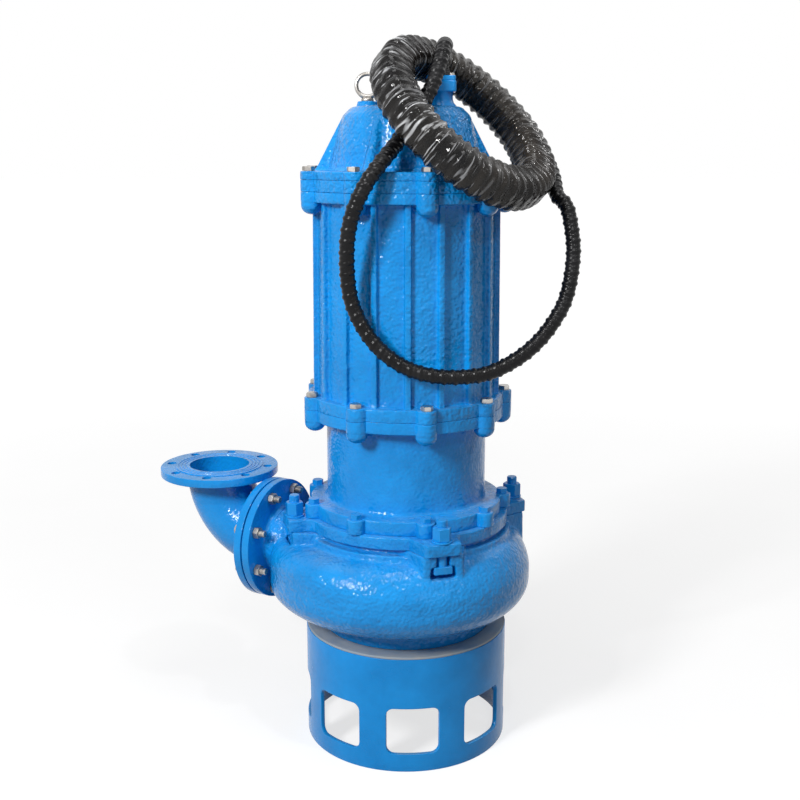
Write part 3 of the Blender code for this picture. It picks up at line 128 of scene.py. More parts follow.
# Cosine and sine at even steps round a full turn.
def circle(steps):
    return [(math.cos(t), math.sin(t)) for t in (fullTurn * i / steps for i in range(steps))]


# Runs smoothly from 0 to 1.
def ease(share):
    share = np.clip(share, 0, 1)
    return share * share * (3 - 2 * share)


# How far a round of this size has drawn back, from all of it at share 0 to nothing at share 1.
def roundedOff(size, share):
    return size * (1 - math.sqrt(1 - (1 - share) ** 2))


# Rounds the corners of an outline; cuts is one length, or one for each corner.
def softCorners(points, cuts, steps=3):
    longest = 0.45  # of the side that is cut
    if not isinstance(cuts, list):
        cuts = [cuts] * len(points)
    out = []
    for i, (point, cut) in enumerate(zip(points, cuts)):
        if cut <= 0:
            out.append(tuple(point))
            continue
        p = Vector(point)
        toLast = Vector(points[i - 1]) - p
        toNext = Vector(points[(i + 1) % len(points)]) - p
        a = p + toLast.normalized() * min(cut, longest * toLast.length)
        b = p + toNext.normalized() * min(cut, longest * toNext.length)
        for k in range(steps + 1):
            t = k / steps
            out.append(tuple(a * (1 - t) ** 2 + p * 2 * t * (1 - t) + b * t * t))
    return out


# Faces between each ring and the next; a ring of one point is a tip.
def bridge(bm, rings, closed):
    for a, b in zip(rings, rings[1:] + (rings[:1] if closed else [])):
        count = max(len(a), len(b))
        for i in range(count if count > 1 else 0):
            j = (i + 1) % count
            corners = (a[i % len(a)], a[j % len(a)], b[j % len(b)], b[i % len(b)])
            bm.faces.new(tuple(dict.fromkeys(corners)))


# Turns a profile of (radius, height) about the place's Z; one that starts on the axis also ends there.
def addLathe(bm, profile, steps=96, place=here):
    rings, spokes = [], circle(steps)
    for radius, height in profile:
        spots = [(radius * c, radius * s, height) for c, s in spokes] if radius else [(0, 0, height)]
        rings.append([bm.verts.new(place @ Vector(spot)) for spot in spots])
    bridge(bm, rings, profile[0][0] > 0)


# The profile of a plain cylinder.
def plug(radius, low, high):
    return [(0, low), (radius, low), (radius, high), (0, high)]


def lathes(profile, steps, places):
    bm = bmesh.new()
    for place in places:
        addLathe(bm, profile, steps, place)
    return bm


# Skins loops of the same number of points.
def addRings(bm, loops, closed=False, capped=True, place=here):
    made = [[bm.verts.new(place @ Vector(point)) for point in loop] for loop in loops]
    bridge(bm, made, closed)
    if capped and not closed:
        bm.faces.new(made[0])
        bm.faces.new(made[-1])
    return bm


# An outline in XY between two heights, with a small bevel at both rims.
def addPrism(bm, outline, low, high, place=here, edge=0.0):
    centre = Vector((sum(x for x, y in outline), sum(y for x, y in outline))) / len(outline)
    levels = [(low, edge), (low + edge, 0), (high - edge, 0), (high, edge)] if edge else [(low, 0), (high, 0)]
    loops = []
    for height, inset in levels:
        loop = []
        for point in outline:
            spoke = Vector(point) - centre
            spoke *= max(0.0, 1 - inset / spoke.length)
            loop.append((*(centre + spoke), height))
        loops.append(loop)
    return addRings(bm, loops, place=place)


# A hexagon head or nut whose corners are turned off.
def addHex(bm, acrossFlats, low, high, place=here, lowChamfer=False, sides=36):
    slope = math.tan(math.radians(30))
    flat, sixth = acrossFlats / 2, math.pi / 6
    turned = flat * 0.97  # where the turned face begins
    drop = (flat / math.cos(sixth) - turned) * slope
    levels = [low + drop * s for s in (0, 0.35, 0.7, 1)] if lowChamfer else [low]
    levels += [high - drop * s for s in (1, 0.7, 0.35, 0)]
    reaches = [flat / math.cos((fullTurn * i / sides + sixth) % (2 * sixth) - sixth) for i in range(sides)]
    loops = []
    for level in levels:
        depth = min(high - level, level - low) if lowChamfer else high - level
        limit = turned + depth / slope
        loops.append([(min(r, limit) * c, min(r, limit) * s, level) for r, (c, s) in zip(reaches, circle(sides))])
    return addRings(bm, loops, place=place)


# How far from the origin each ray last crosses a closed outline; 0 where it misses.
def rayReach(outline, turns):
    tiny = 1e-12
    reach = np.zeros(len(turns))
    dx, dy = np.cos(turns), np.sin(turns)
    for (px, py), (qx, qy) in zip(outline, outline[1:] + outline[:1]):
        ex, ey = qx - px, qy - py
        cross = dx * ey - dy * ex
        along = (dy * px - dx * py) / np.where(np.abs(cross) < tiny, tiny, cross)
        hit = (px + along * ex) * dx + (py + along * ey) * dy
        reach = np.where((along >= 0) & (along <= 1) & (hit > reach), hit, reach)
    return reach


# Signed angle in radians from each turn to the nearest of these angles, given in degrees.
def nearest(turns, angles):
    gaps = (turns[:, None] - np.radians(angles)[None, :] + math.pi) % fullTurn - math.pi
    return gaps[np.arange(len(turns)), np.abs(gaps).argmin(axis=1)]


# Radii of a disc with round bosses that stand on a circle near its rim, along each ray.
def bossedDisc(turns, radius, angles, place, boss):
    gap = nearest(turns, angles)
    inside = boss**2 - (place * np.sin(gap)) ** 2
    bosses = np.where(inside > 0, place * np.cos(gap) + np.sqrt(np.maximum(inside, 0)), 0)
    return np.maximum(radius, bosses)


# A hollow casting, in levels of (height, radii): up its outside, then down its inside.
def casting(name, turns, levels):
    loops = [np.stack([r * np.cos(turns), r * np.sin(turns), z + 0 * turns], axis=1) for z, r in levels]
    return shaped(name, addRings(bmesh.new(), loops, closed=True))


# Levels up the side of a disc with rounded rims.
def rimLevels(radii, low, high, lowEdge, highEdge):
    levels = []
    for start, edge, shares in ((low, lowEdge, (0, 0.3, 0.6, 1)), (high, -highEdge, (1, 0.6, 0.3, 0))):
        levels += [(start + edge * share, radii - roundedOff(abs(edge), share)) for share in shares]
    return levels


# Levels through the fillet between a flange's face and a body; size is negative under a flange.
def filletLevels(face, size, body):
    shares = (0, 0.12, 0.3, 0.6, 1)
    levels = []
    for share in shares if size > 0 else shares[::-1]:
        height = face + math.copysign(0.1, size) + size * share
        levels.append((height, body(height) + roundedOff(abs(size), share)))
    return levels


def catmull(points, stepsEach):
    knots = [Vector(p) for p in points]
    knots = [2 * knots[0] - knots[1], *knots, 2 * knots[-1] - knots[-2]]
    fine = []
    for a, b, c, d in zip(knots, knots[1:], knots[2:], knots[3:]):
        for i in range(stepsEach):
            t = i / stepsEach
            curve = (a * 2 - b * 5 + c * 4 - d) * t * t + (b * 3 - a - c * 3 + d) * t**3
            fine.append((b * 2 + (c - a) * t + curve) / 2)
    return fine + [knots[-2]]


# Short words for placing and linking shader nodes.
class Wiring:

    def __init__(self, tree):
        self.tree = tree

    # Feeds inputs of a node, each from a socket or with a constant.
    def fill(self, node, inputs):
        for label, value in inputs.items():
            if hasattr(value, "is_linked"):
                self.tree.links.new(value, node.inputs[label])
            else:
                node.inputs[label].default_value = value
        return node

    def node(self, kind, inputs=None, **settings):
        return self.fill(setAll(self.tree.nodes.new("ShaderNode" + kind), **settings), inputs or {})

    def noise(self, scale, detail=3.0, roughness=0.5, stretch=(1, 1, 1), distortion=0.0):
        spot = self.node("Mapping", {"Vector": self.node("TexCoord").outputs["Object"], "Scale": stretch})
        return self.node("TexNoise", {
            "Vector": spot.outputs["Vector"], "Scale": scale, "Detail": detail, "Roughness": roughness,
            "Distortion": distortion,
        }).outputs["Fac"]

    def maths(self, operation, a, b=0.0, clamp=False):
        return self.node("Math", {0: a, 1: b}, operation=operation, use_clamp=clamp).outputs[0]

    def times(self, a, b):
        return self.maths("MULTIPLY", a, b)

    def remap(self, value, fromLow, fromHigh, toLow=0.0, toHigh=1.0):
        ends = {"From Min": fromLow, "From Max": fromHigh, "To Min": toLow, "To Max": toHigh}
        return self.node("MapRange", {"Value": value, **ends}).outputs["Result"]

    def blend(self, share, a, b):
        return self.node("Mix", {"Factor": share, "A": a, "B": b}, data_type="RGBA").outputs["Result"]

    def parts(self, vector):
        return self.node("SeparateXYZ", {"Vector": vector}).outputs

    def bump(self, height, strength, distance):
        return self.node("Bump", {"Height": height, "Strength": strength, "Distance": distance}).outputs["Normal"]

    def use(self, tree, **values):
        return self.node("Group", values, node_tree=tree).outputs


# A shader group of number sockets; inputs holds their names and values.
def nodeGroup(build, inputs, *outputs):
    tree = bpy.data.node_groups.new(build.__name__, "ShaderNodeTree")
    for label, value in inputs.items():
        tree.interface.new_socket(label, in_out="INPUT", socket_type="NodeSocketFloat").default_value = value
    for label in outputs:
        tree.interface.new_socket(label, in_out="OUTPUT", socket_type="NodeSocketFloat")
    wiring = Wiring(tree)
    values = tree.nodes.new("NodeGroupInput").outputs
    wiring.fill(tree.nodes.new("NodeGroupOutput"), build(wiring, values))
    return tree


def rgba(red, green, blue):
    return (red, green, blue, 1.0)


white = rgba(1, 1, 1)


# Sand-cast skin under thick enamel: slow dents, orange peel and fine pits.
def castGrain(w, values):
    dents = w.times(w.noise(values["Dents"], 0.5), 0.55)
    peel = w.times(w.noise(values["Peel"], 0.0), 0.42)
    pits = w.times(w.noise(values["Pits"], 0.0), 0.03)
    height = w.maths("ADD", w.maths("ADD", dents, peel), pits)
    return {"Height": height, "Tone": w.remap(w.noise(9.0, 4.0, 0.6), 0.3, 0.7)}


# Mask of faces that look up, in patches: where dust lies, and where the sky's reflection is painted as a lighter
# colour.
def levelDustAndSheen(w, values):
    level = w.remap(w.parts(w.node("NewGeometry").outputs["Normal"])["Z"], 0.72, 0.99)
    patches = w.remap(w.noise(values["Scale"], 5.0, 0.65), 0.38, 0.72)
    return {"Mask": w.maths("MULTIPLY", w.times(level, patches), values["Amount"], True)}


# Rubbed edges, broken up by noise.
def edgeWear(w, values):
    edges = w.remap(w.node("NewGeometry").outputs["Pointiness"], 0.53, 0.62)
    broken = w.remap(w.noise(values["Scale"], 6.0, 0.7), 0.5, 0.66)
    return {"Mask": w.maths("MULTIPLY", w.times(edges, broken), values["Amount"], True)}


# Fine turning marks and stains on bare metal.
def brushed(w, values):
    marks = w.noise(values["Marks"], 2.0, 0.7, (1, 1, 14))
    stain = w.remap(w.noise(values["Stains"], 5.0, 0.65, distortion=0.6), 0.35, 0.7)
    return {"Height": marks, "Stain": stain}


castGrain = nodeGroup(castGrain, {"Dents": 70.0, "Peel": 150.0, "Pits": 520.0}, "Height", "Tone")
levelDustAndSheen = nodeGroup(levelDustAndSheen, {"Amount": 0.5, "Scale": 14.0}, "Mask")
edgeWear = nodeGroup(edgeWear, {"Amount": 0.5, "Scale": 60.0}, "Mask")
brushed = nodeGroup(brushed, {"Marks": 300.0, "Stains": 20.0}, "Height", "Stain")


def blankMaterial(name):
    material = setAll(bpy.data.materials.new(name), use_nodes=True)
    return material, Wiring(material.node_tree), material.node_tree.nodes["Principled BSDF"]


enamelLook = {
    "deep": rgba(0.004, 0.235, 0.63),
    "bright": rgba(0.006, 0.310, 0.80),
    # lighter grey-blue for faces that look up: dust, and a painted reflection of the sky
    "dustAndSheen": rgba(0.17, 0.32, 0.47),
    "scuff": rgba(0.12, 0.36, 0.66),
    "wear": 0.35,
    "coat": 0.06,
    "specular": 0.2,
}


# Thick blue enamel over a casting.
def enamel(name, grain=1.0, depth=0.0046, gloss=0.1, dustAndSheen=0.5, dents=70.0, peel=150.0):
    material, w, shader = blankMaterial(name)
    look = enamelLook
    cast = w.use(castGrain, Dents=dents, Peel=peel)
    # painted sheen: faces that look up get the lighter colour, both for dust and for the sky's reflection
    dustAndSheenMask = w.use(levelDustAndSheen, Amount=dustAndSheen)["Mask"]
    worn = w.use(edgeWear, Amount=look["wear"])["Mask"]
    colour = w.blend(worn, w.blend(cast["Tone"], look["deep"], look["bright"]), look["scuff"])
    rough = w.remap(cast["Tone"], 0, 1, gloss + 0.05, gloss - 0.03)
    w.fill(shader, {
        "Base Color": w.blend(dustAndSheenMask, colour, look["dustAndSheen"]),
        "Roughness": w.maths("ADD", rough, w.times(dustAndSheenMask, 0.45)),
        "Normal": w.bump(cast["Height"], grain, depth),
        "Specular IOR Level": look["specular"],
        "Coat Weight": look["coat"],
        "Coat Roughness": 0.05,
    })
    return material


# Bare metal with turning marks, stains and a little rust or grease.
def metal(name, clean, stained, roughness, stain=0.5, marks=300.0, bump=0.12, metallic=1.0):
    material, w, shader = blankMaterial(name)
    skin = w.use(brushed, Marks=marks)
    share = w.times(skin["Stain"], stain)
    w.fill(shader, {
        "Base Color": w.blend(share, clean, stained),
        "Roughness": w.remap(share, 0, 1, roughness, min(1.0, roughness + 0.35)),
        "Normal": w.bump(skin["Height"], bump, 0.0004),
        "Metallic": metallic,
    })
    return material


def rubber(name, dark, pale, roughness, bump=0.2, scale=220.0):
    material, w, shader = blankMaterial(name)
    tone = w.remap(w.noise(18.0, 5.0, 0.6), 0.35, 0.7)
    w.fill(shader, {
        "Base Color": w.blend(tone, dark, pale),
        "Roughness": w.remap(tone, 0, 1, roughness, roughness + 0.16),
        "Normal": w.bump(w.noise(scale, 3.0, 0.6), bump, 0.0005),
        "Specular IOR Level": 0.18,
    })
    return material


castEnamel = enamel("castEnamel")
hammeredEnamel = enamel("hammeredEnamel", depth=0.0075, gloss=0.09, dents=80.0)
evenEnamel = enamel("evenEnamel", grain=0.9, depth=0.0036, gloss=0.15, dents=45.0)
smoothEnamel = enamel("smoothEnamel", grain=0.5, depth=0.0038, gloss=0.13, dustAndSheen=0.7, dents=40.0)
skirtEnamel = enamel("skirtEnamel", grain=0.5, depth=0.0016, gloss=0.24, dustAndSheen=0.8, dents=14.0, peel=90.0)
boltEnamel = enamel("boltEnamel", grain=0.35, depth=0.0006, gloss=0.2, dustAndSheen=0.3, dents=90.0)
stainless = metal("stainless", rgba(0.52, 0.51, 0.49), rgba(0.17, 0.145, 0.12), 0.24, 0.85, 220.0, 0.3)
machinedSteel = metal("machinedSteel", rgba(0.50, 0.51, 0.52), rgba(0.22, 0.21, 0.20), 0.28, 0.6, 420.0)
greyIron = metal("greyIron", rgba(0.26, 0.27, 0.28), rgba(0.13, 0.105, 0.085), 0.55, 0.8, 160.0, 0.5, 0.7)
copper = metal("windingCopper", rgba(0.62, 0.27, 0.11), rgba(0.30, 0.12, 0.05), 0.35, 0.6, 900.0, 0.4, 0.8)
ceramic = metal("sealCeramic", rgba(0.17, 0.16, 0.16), rgba(0.10, 0.095, 0.09), 0.2, 0.4, 500.0, 0.05, 0.0)
sheetRubber = rubber("sheetRubber", rgba(0.015, 0.015, 0.017), rgba(0.05, 0.05, 0.05), 0.55)
conduitBlack = rubber("conduitBlack", rgba(0.003, 0.003, 0.0035), rgba(0.009, 0.009, 0.010), 0.2, 0.12, 400.0)
dustyPlate = metal("dustyPlate", rgba(0.30, 0.36, 0.41), rgba(0.44, 0.44, 0.42), 0.6, 0.9, 60.0, 0.4, 0.1)


# Clear stretch film: pulled streaks across the bundle, white highlights painted on its creases, and a grey haze
# of dust.
def makeFilm():
    material, w, shader = blankMaterial("stretchFilm")
    ring, section = (w.parts(w.node("UVMap", uv_map=name).outputs["UV"]) for name in ("ring", "section"))

    # Noise drawn out across the bundle, which meets itself both ways round.
    def streak(scale, pull, distortion):
        spot = w.node("CombineXYZ", {"X": ring["X"], "Y": ring["Y"], "Z": w.times(section["X"], pull)})
        return w.node("TexNoise", {
            "Vector": spot.outputs["Vector"], "W": w.times(section["Y"], pull), "Scale": scale, "Detail": 1.5,
            "Roughness": 0.65, "Distortion": distortion,
        }, noise_dimensions="4D").outputs["Fac"]

    pulled = streak(190.0, 0.1, 0.2)
    coarse = streak(80.0, 0.16, 0.4)
    haze = w.noise(7.0, 4.0, 0.6)
    spot = w.parts(w.node("TexCoord").outputs["Object"])
    keyLitSide = w.remap(spot["X"], 0.36, 0.12)  # the left half faces the key lamp, and the painted crease highlights gather there
    patches = w.times(w.remap(w.noise(9.0, 2.0), 0.32, 0.52), keyLitSide)
    # painted highlights: white lines where the creases would catch the key lamp, mostly on the left half
    fineHighlightLines = w.times(w.remap(pulled, 0.58, 0.66), w.remap(patches, 0, 1, 0.15, 1.0))
    creaseHighlights = w.maths("MAXIMUM", fineHighlightLines, w.times(w.remap(coarse, 0.61, 0.68), patches))
    murk = w.times(w.remap(haze, 0.3, 0.6), w.remap(keyLitSide, 1, 0, 0.25, 1.0))
    colour = w.blend(murk, rgba(0.004, 0.004, 0.005), rgba(0.036, 0.030, 0.024))
    fine = w.maths("ADD", w.times(coarse, 0.6), w.times(pulled, 0.4))
    w.fill(shader, {
        # painted highlight: the creases are mixed to near white
        "Base Color": w.blend(creaseHighlights, colour, rgba(0.62, 0.63, 0.65)),
        "Roughness": w.remap(haze, 0.3, 0.7, 0.06, 0.18),
        "Alpha": w.maths("ADD", w.remap(haze, 0.3, 0.72, 0.7, 0.95), w.times(creaseHighlights, 0.3), True),
        "Normal": w.bump(fine, 0.8, 0.0045),
        "Specular IOR Level": 0.22,
        "Coat Weight": 0.12,
        "Coat Roughness": 0.05,
    })
    return material


stretchFilm = makeFilm()
print("materials ready")


view = {"place": (139.6, -2574.5, 1379.8), "down": 12.278, "lens": 50.91, "sensor": 36}

camera = setAll(bpy.data.cameras.new("photoCamera"), lens=view["lens"], sensor_width=view["sensor"])
cameraObject = makeObject("photoCamera", camera, view["place"])
cameraObject.rotation_euler.x = math.radians(90 - view["down"])
bpy.context.scene.camera = cameraObject

cable = {
    "diameter": 32,
    "pitch": 23.5,  # from ridge to ridge
    "ridge": 2.6,
    "sides": 18,
    "ringsPerRidge": 12,
    "lean": 0.16,  # of the pitch: the ridges lean a little, as on a wound hose
    "start": (75, -10, 1547.3),
    "route": [
        (75, -10, 1557), (76.5, -18, 1574), (80, -40, 1595), (81.5, -72, 1606), (76.5, -103, 1592),
        (66.5, -129, 1558), (52, -148, 1518), (32, -162, 1480), (6, -175.5, 1443), (-22, -200, 1400),
        (-53, -238, 1362), (-78, -258, 1328), (-97, -264, 1294), (-111, -259, 1260), (-120, -252, 1224),
        (-124, -244, 1186), (-124, -231, 1133), (-117, -223, 1080), (-99, -223, 1034), (-73, -227, 994),
        (-42, -232, 963), (-4, -237, 939), (38, -241, 925), (81, -242, 919), (123, -239, 919),
        (166, -233, 924), (209, -224, 940), (252, -211, 965), (289, -196, 997), (320, -179, 1036),
        (341, -163, 1073), (355, -143, 1124), (361, -123, 1176), (358, -103, 1224), (349, -82, 1268),
        (331, -55.8, 1289.9), (330.6, -28, 1307.1), (330.9, -0.7, 1323.4), (328.5, 25.5, 1341.3),
        (325.8, 39.8, 1352.3),
    ],
}
coil = {
    "centre": (126, -86, 1447),
    "tilt": 45.9,
    "turn": -36,
    "radius": 192.5,
    "turns": 5,
    "stepsPerTurn": 96,
    "lead": 0.16,  # share of the first turn in which the cable sinks into the bundle
    "spread": 23.8,  # from the bundle's middle to each turn
    "wrap": 39.8,
    "square": 3.2,  # 2 would make the bundle round
    "filmRings": 672,
    "filmSides": 56,
}


# Level direction, downhill direction and normal of the coil.
def coilFrame():
    tilt, turn = math.radians(coil["tilt"]), math.radians(coil["turn"])
    normal = Vector((math.sin(tilt) * math.cos(turn), math.sin(tilt) * math.sin(turn), math.cos(tilt)))
    level = normal.cross(zAxis).normalized()
    return level, normal.cross(level), normal


coilLevel, coilSlope, coilNormal = coilFrame()


# A point near the coil's own circle: out from its middle, and up along its normal.
def coilPoint(turn, out, rise):
    outwards = coilLevel * math.cos(turn) + coilSlope * math.sin(turn)
    return Vector(coil["centre"]) + outwards * (coil["radius"] + out) + coilNormal * rise


# The whole cable's middle line: the loose loop, the way in under the film, and the turns.
def cordLine():
    run = catmull([cable["start"], *cable["route"]], 12)
    away = run[-1] - Vector(coil["centre"])
    enter = math.atan2(away.dot(coilSlope), away.dot(coilLevel))
    high = away.dot(coilNormal)
    flat = (away - coilNormal * high).length - coil["radius"]
    depth, phase = math.hypot(flat, high), math.atan2(high, flat)
    ahead = coilSlope * math.cos(enter) - coilLevel * math.sin(enter)
    sense = 1 if (run[-1] - run[-4]).dot(ahead) > 0 else -1
    turns = []
    for i in range(1, coil["turns"] * coil["stepsPerTurn"] + 1):
        share = i / coil["stepsPerTurn"]
        twist = phase + fullTurn * share / coil["turns"]
        reach = depth + (coil["spread"] - depth) * ease(share / coil["lead"])
        turn = enter + sense * fullTurn * share
        turns.append(coilPoint(turn, reach * math.cos(twist), reach * math.sin(twist)))
    return np.array([list(shaftAxis + point) for point in run + turns])


# A corrugated tube along the cable's line, in rings close enough to show each ridge.
def makeCable():
    pitch, sides = cable["pitch"], cable["sides"]
    line = cordLine()
    runs = np.concatenate([[0], np.cumsum(np.linalg.norm(np.diff(line, axis=0), axis=1))])
    marks = np.linspace(0, runs[-1], round(runs[-1] * cable["ringsPerRidge"] / pitch) + 1)
    path = np.stack([np.interp(marks, runs, line[:, k]) for k in range(3)], axis=1)
    ahead = np.gradient(path, axis=0)
    ahead /= np.linalg.norm(ahead, axis=1)[:, None]
    side = np.zeros_like(path)
    held = np.array([1.0, 0.0, 0.0])
    for i, direction in enumerate(ahead):
        held = held - direction * held.dot(direction)
        held /= np.linalg.norm(held)
        side[i] = held
    over = np.cross(ahead, side)
    turns = np.arange(sides) * fullTurn / sides
    phase = (marks[:, None] + cable["lean"] * pitch * np.cos(turns)[None, :]) * fullTurn / pitch
    wave = np.cos(phase)
    bulge = np.sign(wave) * np.abs(wave) ** np.where(wave > 0, 0.5, 1.0)  # round ridges, narrow grooves
    bulge = bulge * 0.5 + 0.5 * np.cos(2 * phase)  # high and low ridges in turn
    reach = cable["diameter"] / 2 + cable["ridge"] * 0.65 * bulge
    points = path[:, None, :] + reach[:, :, None] * (
        side[:, None, :] * np.cos(turns)[None, :, None] + over[:, None, :] * np.sin(turns)[None, :, None]
    )
    index = np.arange(len(path) * sides).reshape(len(path), sides)
    quads = np.stack([index[:-1], np.roll(index[:-1], -1, 1), np.roll(index[1:], -1, 1), index[1:]], axis=2)
    faces = [*quads.reshape(-1, 4).tolist(), index[0][::-1].tolist(), index[-1].tolist()]
    mesh = bpy.data.meshes.new("power_cable")
    mesh.from_pydata((points.reshape(-1, 3) * mm).tolist(), [], faces)
    shadeMesh(mesh, 60)
    obj = makeObject("power_cable", mesh, (0, 0, 0))
    return dressed(obj, conduitBlack, "black_conduit", "cable_run", "cable_coil"), path * mm


# The film shell: nearly square in section, scalloped by the ridges under it, and puckered across.
def makeWrap():
    steps, sides, square = coil["filmRings"], coil["filmSides"], coil["square"]
    turns = np.arange(steps) * fullTurn / steps
    pucker = np.zeros(steps)
    for rate in [*range(24, 60, 5), *range(70, 150, 7)]:
        pucker += random.uniform(0.2, 1.0) * np.sin(rate * turns + random.uniform(0, 6.283)) / math.sqrt(rate)
    pucker /= np.abs(pucker).max()
    ridges = round(fullTurn * coil["radius"] / cable["pitch"])
    section = circle(sides)
    loops = []
    for i, turn in enumerate(turns):
        loop = []
        for j, (c, s) in enumerate(section):
            edge = abs(c * s) * 2  # the folds are deepest over the corners
            reach = coil["wrap"] / (abs(c) ** square + abs(s) ** square) ** (1 / square)
            reach += (0.5 + 1.9 * edge) * math.sin(ridges * turn + 0.8 * s)
            fold = i + int(9 * math.sin(2 * fullTurn * j / sides + 3 * turn))
            reach += (0.4 + 1.5 * edge) * pucker[fold % steps]
            loop.append(shaftAxis + coilPoint(turn, reach * c, reach * s))
        loops.append(loop)
    bm = addRings(bmesh.new(), loops, closed=True)
    ringLayer = bm.loops.layers.uv.new("ring")
    sectionLayer = bm.loops.layers.uv.new("section")
    ringSpots = [Vector(spot) * coil["radius"] * mm for spot in circle(steps)]
    sectionSpots = [Vector(spot) * coil["wrap"] * mm for spot in section]
    bm.verts.index_update()
    for face in bm.faces:
        for corner in face.loops:
            ring, j = divmod(corner.vert.index, sides)
            corner[ringLayer].uv = ringSpots[ring]
            corner[sectionLayer].uv = sectionSpots[j]
    return dressed(shaped("coil_film", bm, 80, (0, 0, 0)), stretchFilm, "wrapped_conduit")


cord, cordPath = makeCable()
film = makeWrap()


# 1 for rays that show the scene directly, 0 for rays that only light it.
def seenDirectly(w):
    path = w.node("LightPath").outputs
    direct = w.maths("MAXIMUM", path["Is Camera Ray"], path["Is Glossy Ray"])
    return w.maths("MAXIMUM", direct, path["Is Transmission Ray"])


def makeStage():
    floor = bpy.data.meshes.new("floor")
    floor.from_pydata([(-30, -30, 0), (30, -30, 0), (30, 60, 0), (-30, 60, 0)], [], [(0, 1, 2, 3)])
    obj = makeObject("floor", floor, (0, 0, -0.5))
    material, w, shader = blankMaterial("paleFloor")
    far = w.node("VectorMath", {0: w.node("TexCoord").outputs["Object"]}, operation="LENGTH").outputs["Value"]
    paper = w.remap(far, 0.8, 5.0, 0.72, 0.95)  # white also where the lamps no longer reach
    w.fill(shader, {
        "Base Color": w.blend(w.noise(3.0), rgba(0.34, 0.34, 0.34), rgba(0.38, 0.38, 0.38)),
        "Roughness": 0.9,
        "Specular IOR Level": 0.1,
        "Emission Color": white,
        "Emission Strength": w.times(seenDirectly(w), paper),
    })
    obj.data.materials.append(material)

    world = setAll(bpy.data.worlds.new("studio"), use_nodes=True)
    bpy.context.scene.world = world
    w = Wiring(world.node_tree)
    plain = w.fill(world.node_tree.nodes["Background"], {"Color": white, "Strength": 0.12})
    seen = w.node("Background", {"Color": white, "Strength": 1.0})
    mixed = w.node("MixShader", {"Fac": seenDirectly(w), 1: plain.outputs[0], 2: seen.outputs[0]})
    w.fill(world.node_tree.nodes["World Output"], {"Surface": mixed.outputs[0]})


# Where each lamp stands, its width in metres and its power.
lamps = {
    "key": ((-2200, -2900, 2800), 0.9, 128),
    "fill": ((1400, -3400, 2000), 1.2, 5),
    "top": ((300, -700, 3600), 1.2, 20),
    "rim": ((2600, 1800, 3000), 0.4, 5),
    "sparkLeft": ((-1600, -2600, 3400), 0.2, 22),  # small lamps for the crisp glints
    "sparkTop": ((600, -1600, 3900), 0.2, 16),
    "sparkRight": ((2200, -1800, 3200), 0.2, 9),
}


def makeLamps():
    aim = Vector((0.1, 0, 0.8))
    for name, (place, size, power) in lamps.items():
        light = setAll(bpy.data.lights.new(name, "AREA"), shape="DISK", size=size, energy=power)
        obj = makeObject(name, light, place)
        obj.rotation_euler = (aim - obj.location).to_track_quat("-Z", "Y").to_euler()


makeStage()
makeLamps()
bpy.context.scene.view_settings.view_transform = "Standard"
print("stage set")


skirt = {
    "radius": 241, "wall": 10, "height": 274, "windows": 8, "first": 3.6,
    "width": 124, "low": 43, "high": 155, "corner": 18, "edge": 1.4, "step": 9,
}


# A rolled plate with rounded windows, built flat one bay at a time and bent round.
def makeSkirt():
    radius, low, high, curve = skirt["radius"], skirt["low"], skirt["high"], skirt["corner"]
    bay = fullTurn * radius / skirt["windows"]
    middle = Vector((0, (low + high) / 2))
    rim = []
    for cx, cy, start in ((1, 1, 0), (-1, 1, 90), (-1, -1, 180), (1, -1, 270)):
        corner = middle + Vector((cx * (skirt["width"] / 2 - curve), cy * ((high - low) / 2 - curve)))
        for k in range(7):
            turn = math.radians(start + 15 * k)
            rim.append(corner + Vector((math.cos(turn), math.sin(turn))) * curve)
    filled = []
    for a, b in zip(rim, rim[1:] + rim[:1]):
        pieces = max(1, round((b - a).length / skirt["step"]))
        filled += [a.lerp(b, i / pieces) for i in range(pieces)]

    # Where the ray from the window's middle through a point of its rim leaves the bay.
    def onBay(point):
        ray = point - middle
        across = (bay / 2) / max(abs(ray.x), 1e-9)
        along = (skirt["height"] - middle.y if ray.y > 0 else middle.y) / max(abs(ray.y), 1e-9)
        return middle + ray * min(across, along)

    ends = [onBay(point) for point in filled]
    for cx, y in ((1, skirt["height"]), (-1, skirt["height"]), (-1, 0), (1, 0)):
        corner = Vector((cx * bay / 2, y))
        ends[min(range(len(ends)), key=lambda i: (ends[i] - corner).length)] = corner
    bm = bmesh.new()
    for angle in evenAngles(skirt["windows"], skirt["first"]):
        loops = []
        for share in (0.0, 0.04, 0.2, 0.55, 1.0):
            loop = []
            for point, end in zip(filled, ends):
                spot = point.lerp(end, share)
                turn = math.radians(angle) + spot.x / radius
                loop.append((radius * math.cos(turn), radius * math.sin(turn), spot.y))
            loops.append(loop)
        addRings(bm, loops, capped=False)
    bmesh.ops.remove_doubles(bm, verts=bm.verts, dist=0.05)
    obj = shaped("strainer_skirt_body", bm)
    wall = obj.modifiers.new("Wall", "SOLIDIFY")
    setAll(wall, thickness=skirt["wall"] * mm, offset=-1, use_even_offset=True)
    addBevel(obj, skirt["edge"], 3, 55)
    bakeModifiers(obj)
    return dressed(obj, skirtEnamel, "blue_enamel", "strainer_skirt", smooth=35)


def addBevel(obj, width, segments, angle):
    setAll(obj.modifiers.new("Edge", "BEVEL"), width=width * mm, segments=segments, limit_method="ANGLE",
           angle_limit=math.radians(angle))


def makeSuctionPlate():
    top, face, step, lip, inner, eye = 279.7, 265.7, 274.4, 239, 229.6, 78
    outline = [(lip, top), (lip, step), (inner, step), (inner, face), (eye, face), (eye, top)]
    bm = lathes(softCorners(outline, [1.5, 0.8, 0, 1, 3, 1]), 144, [here])
    return dressed(shaped("suction_plate_disc", bm), dustyPlate, "grey_iron", "suction_plate")


makeSkirt()
makeSuctionPlate()
print("skirt built")


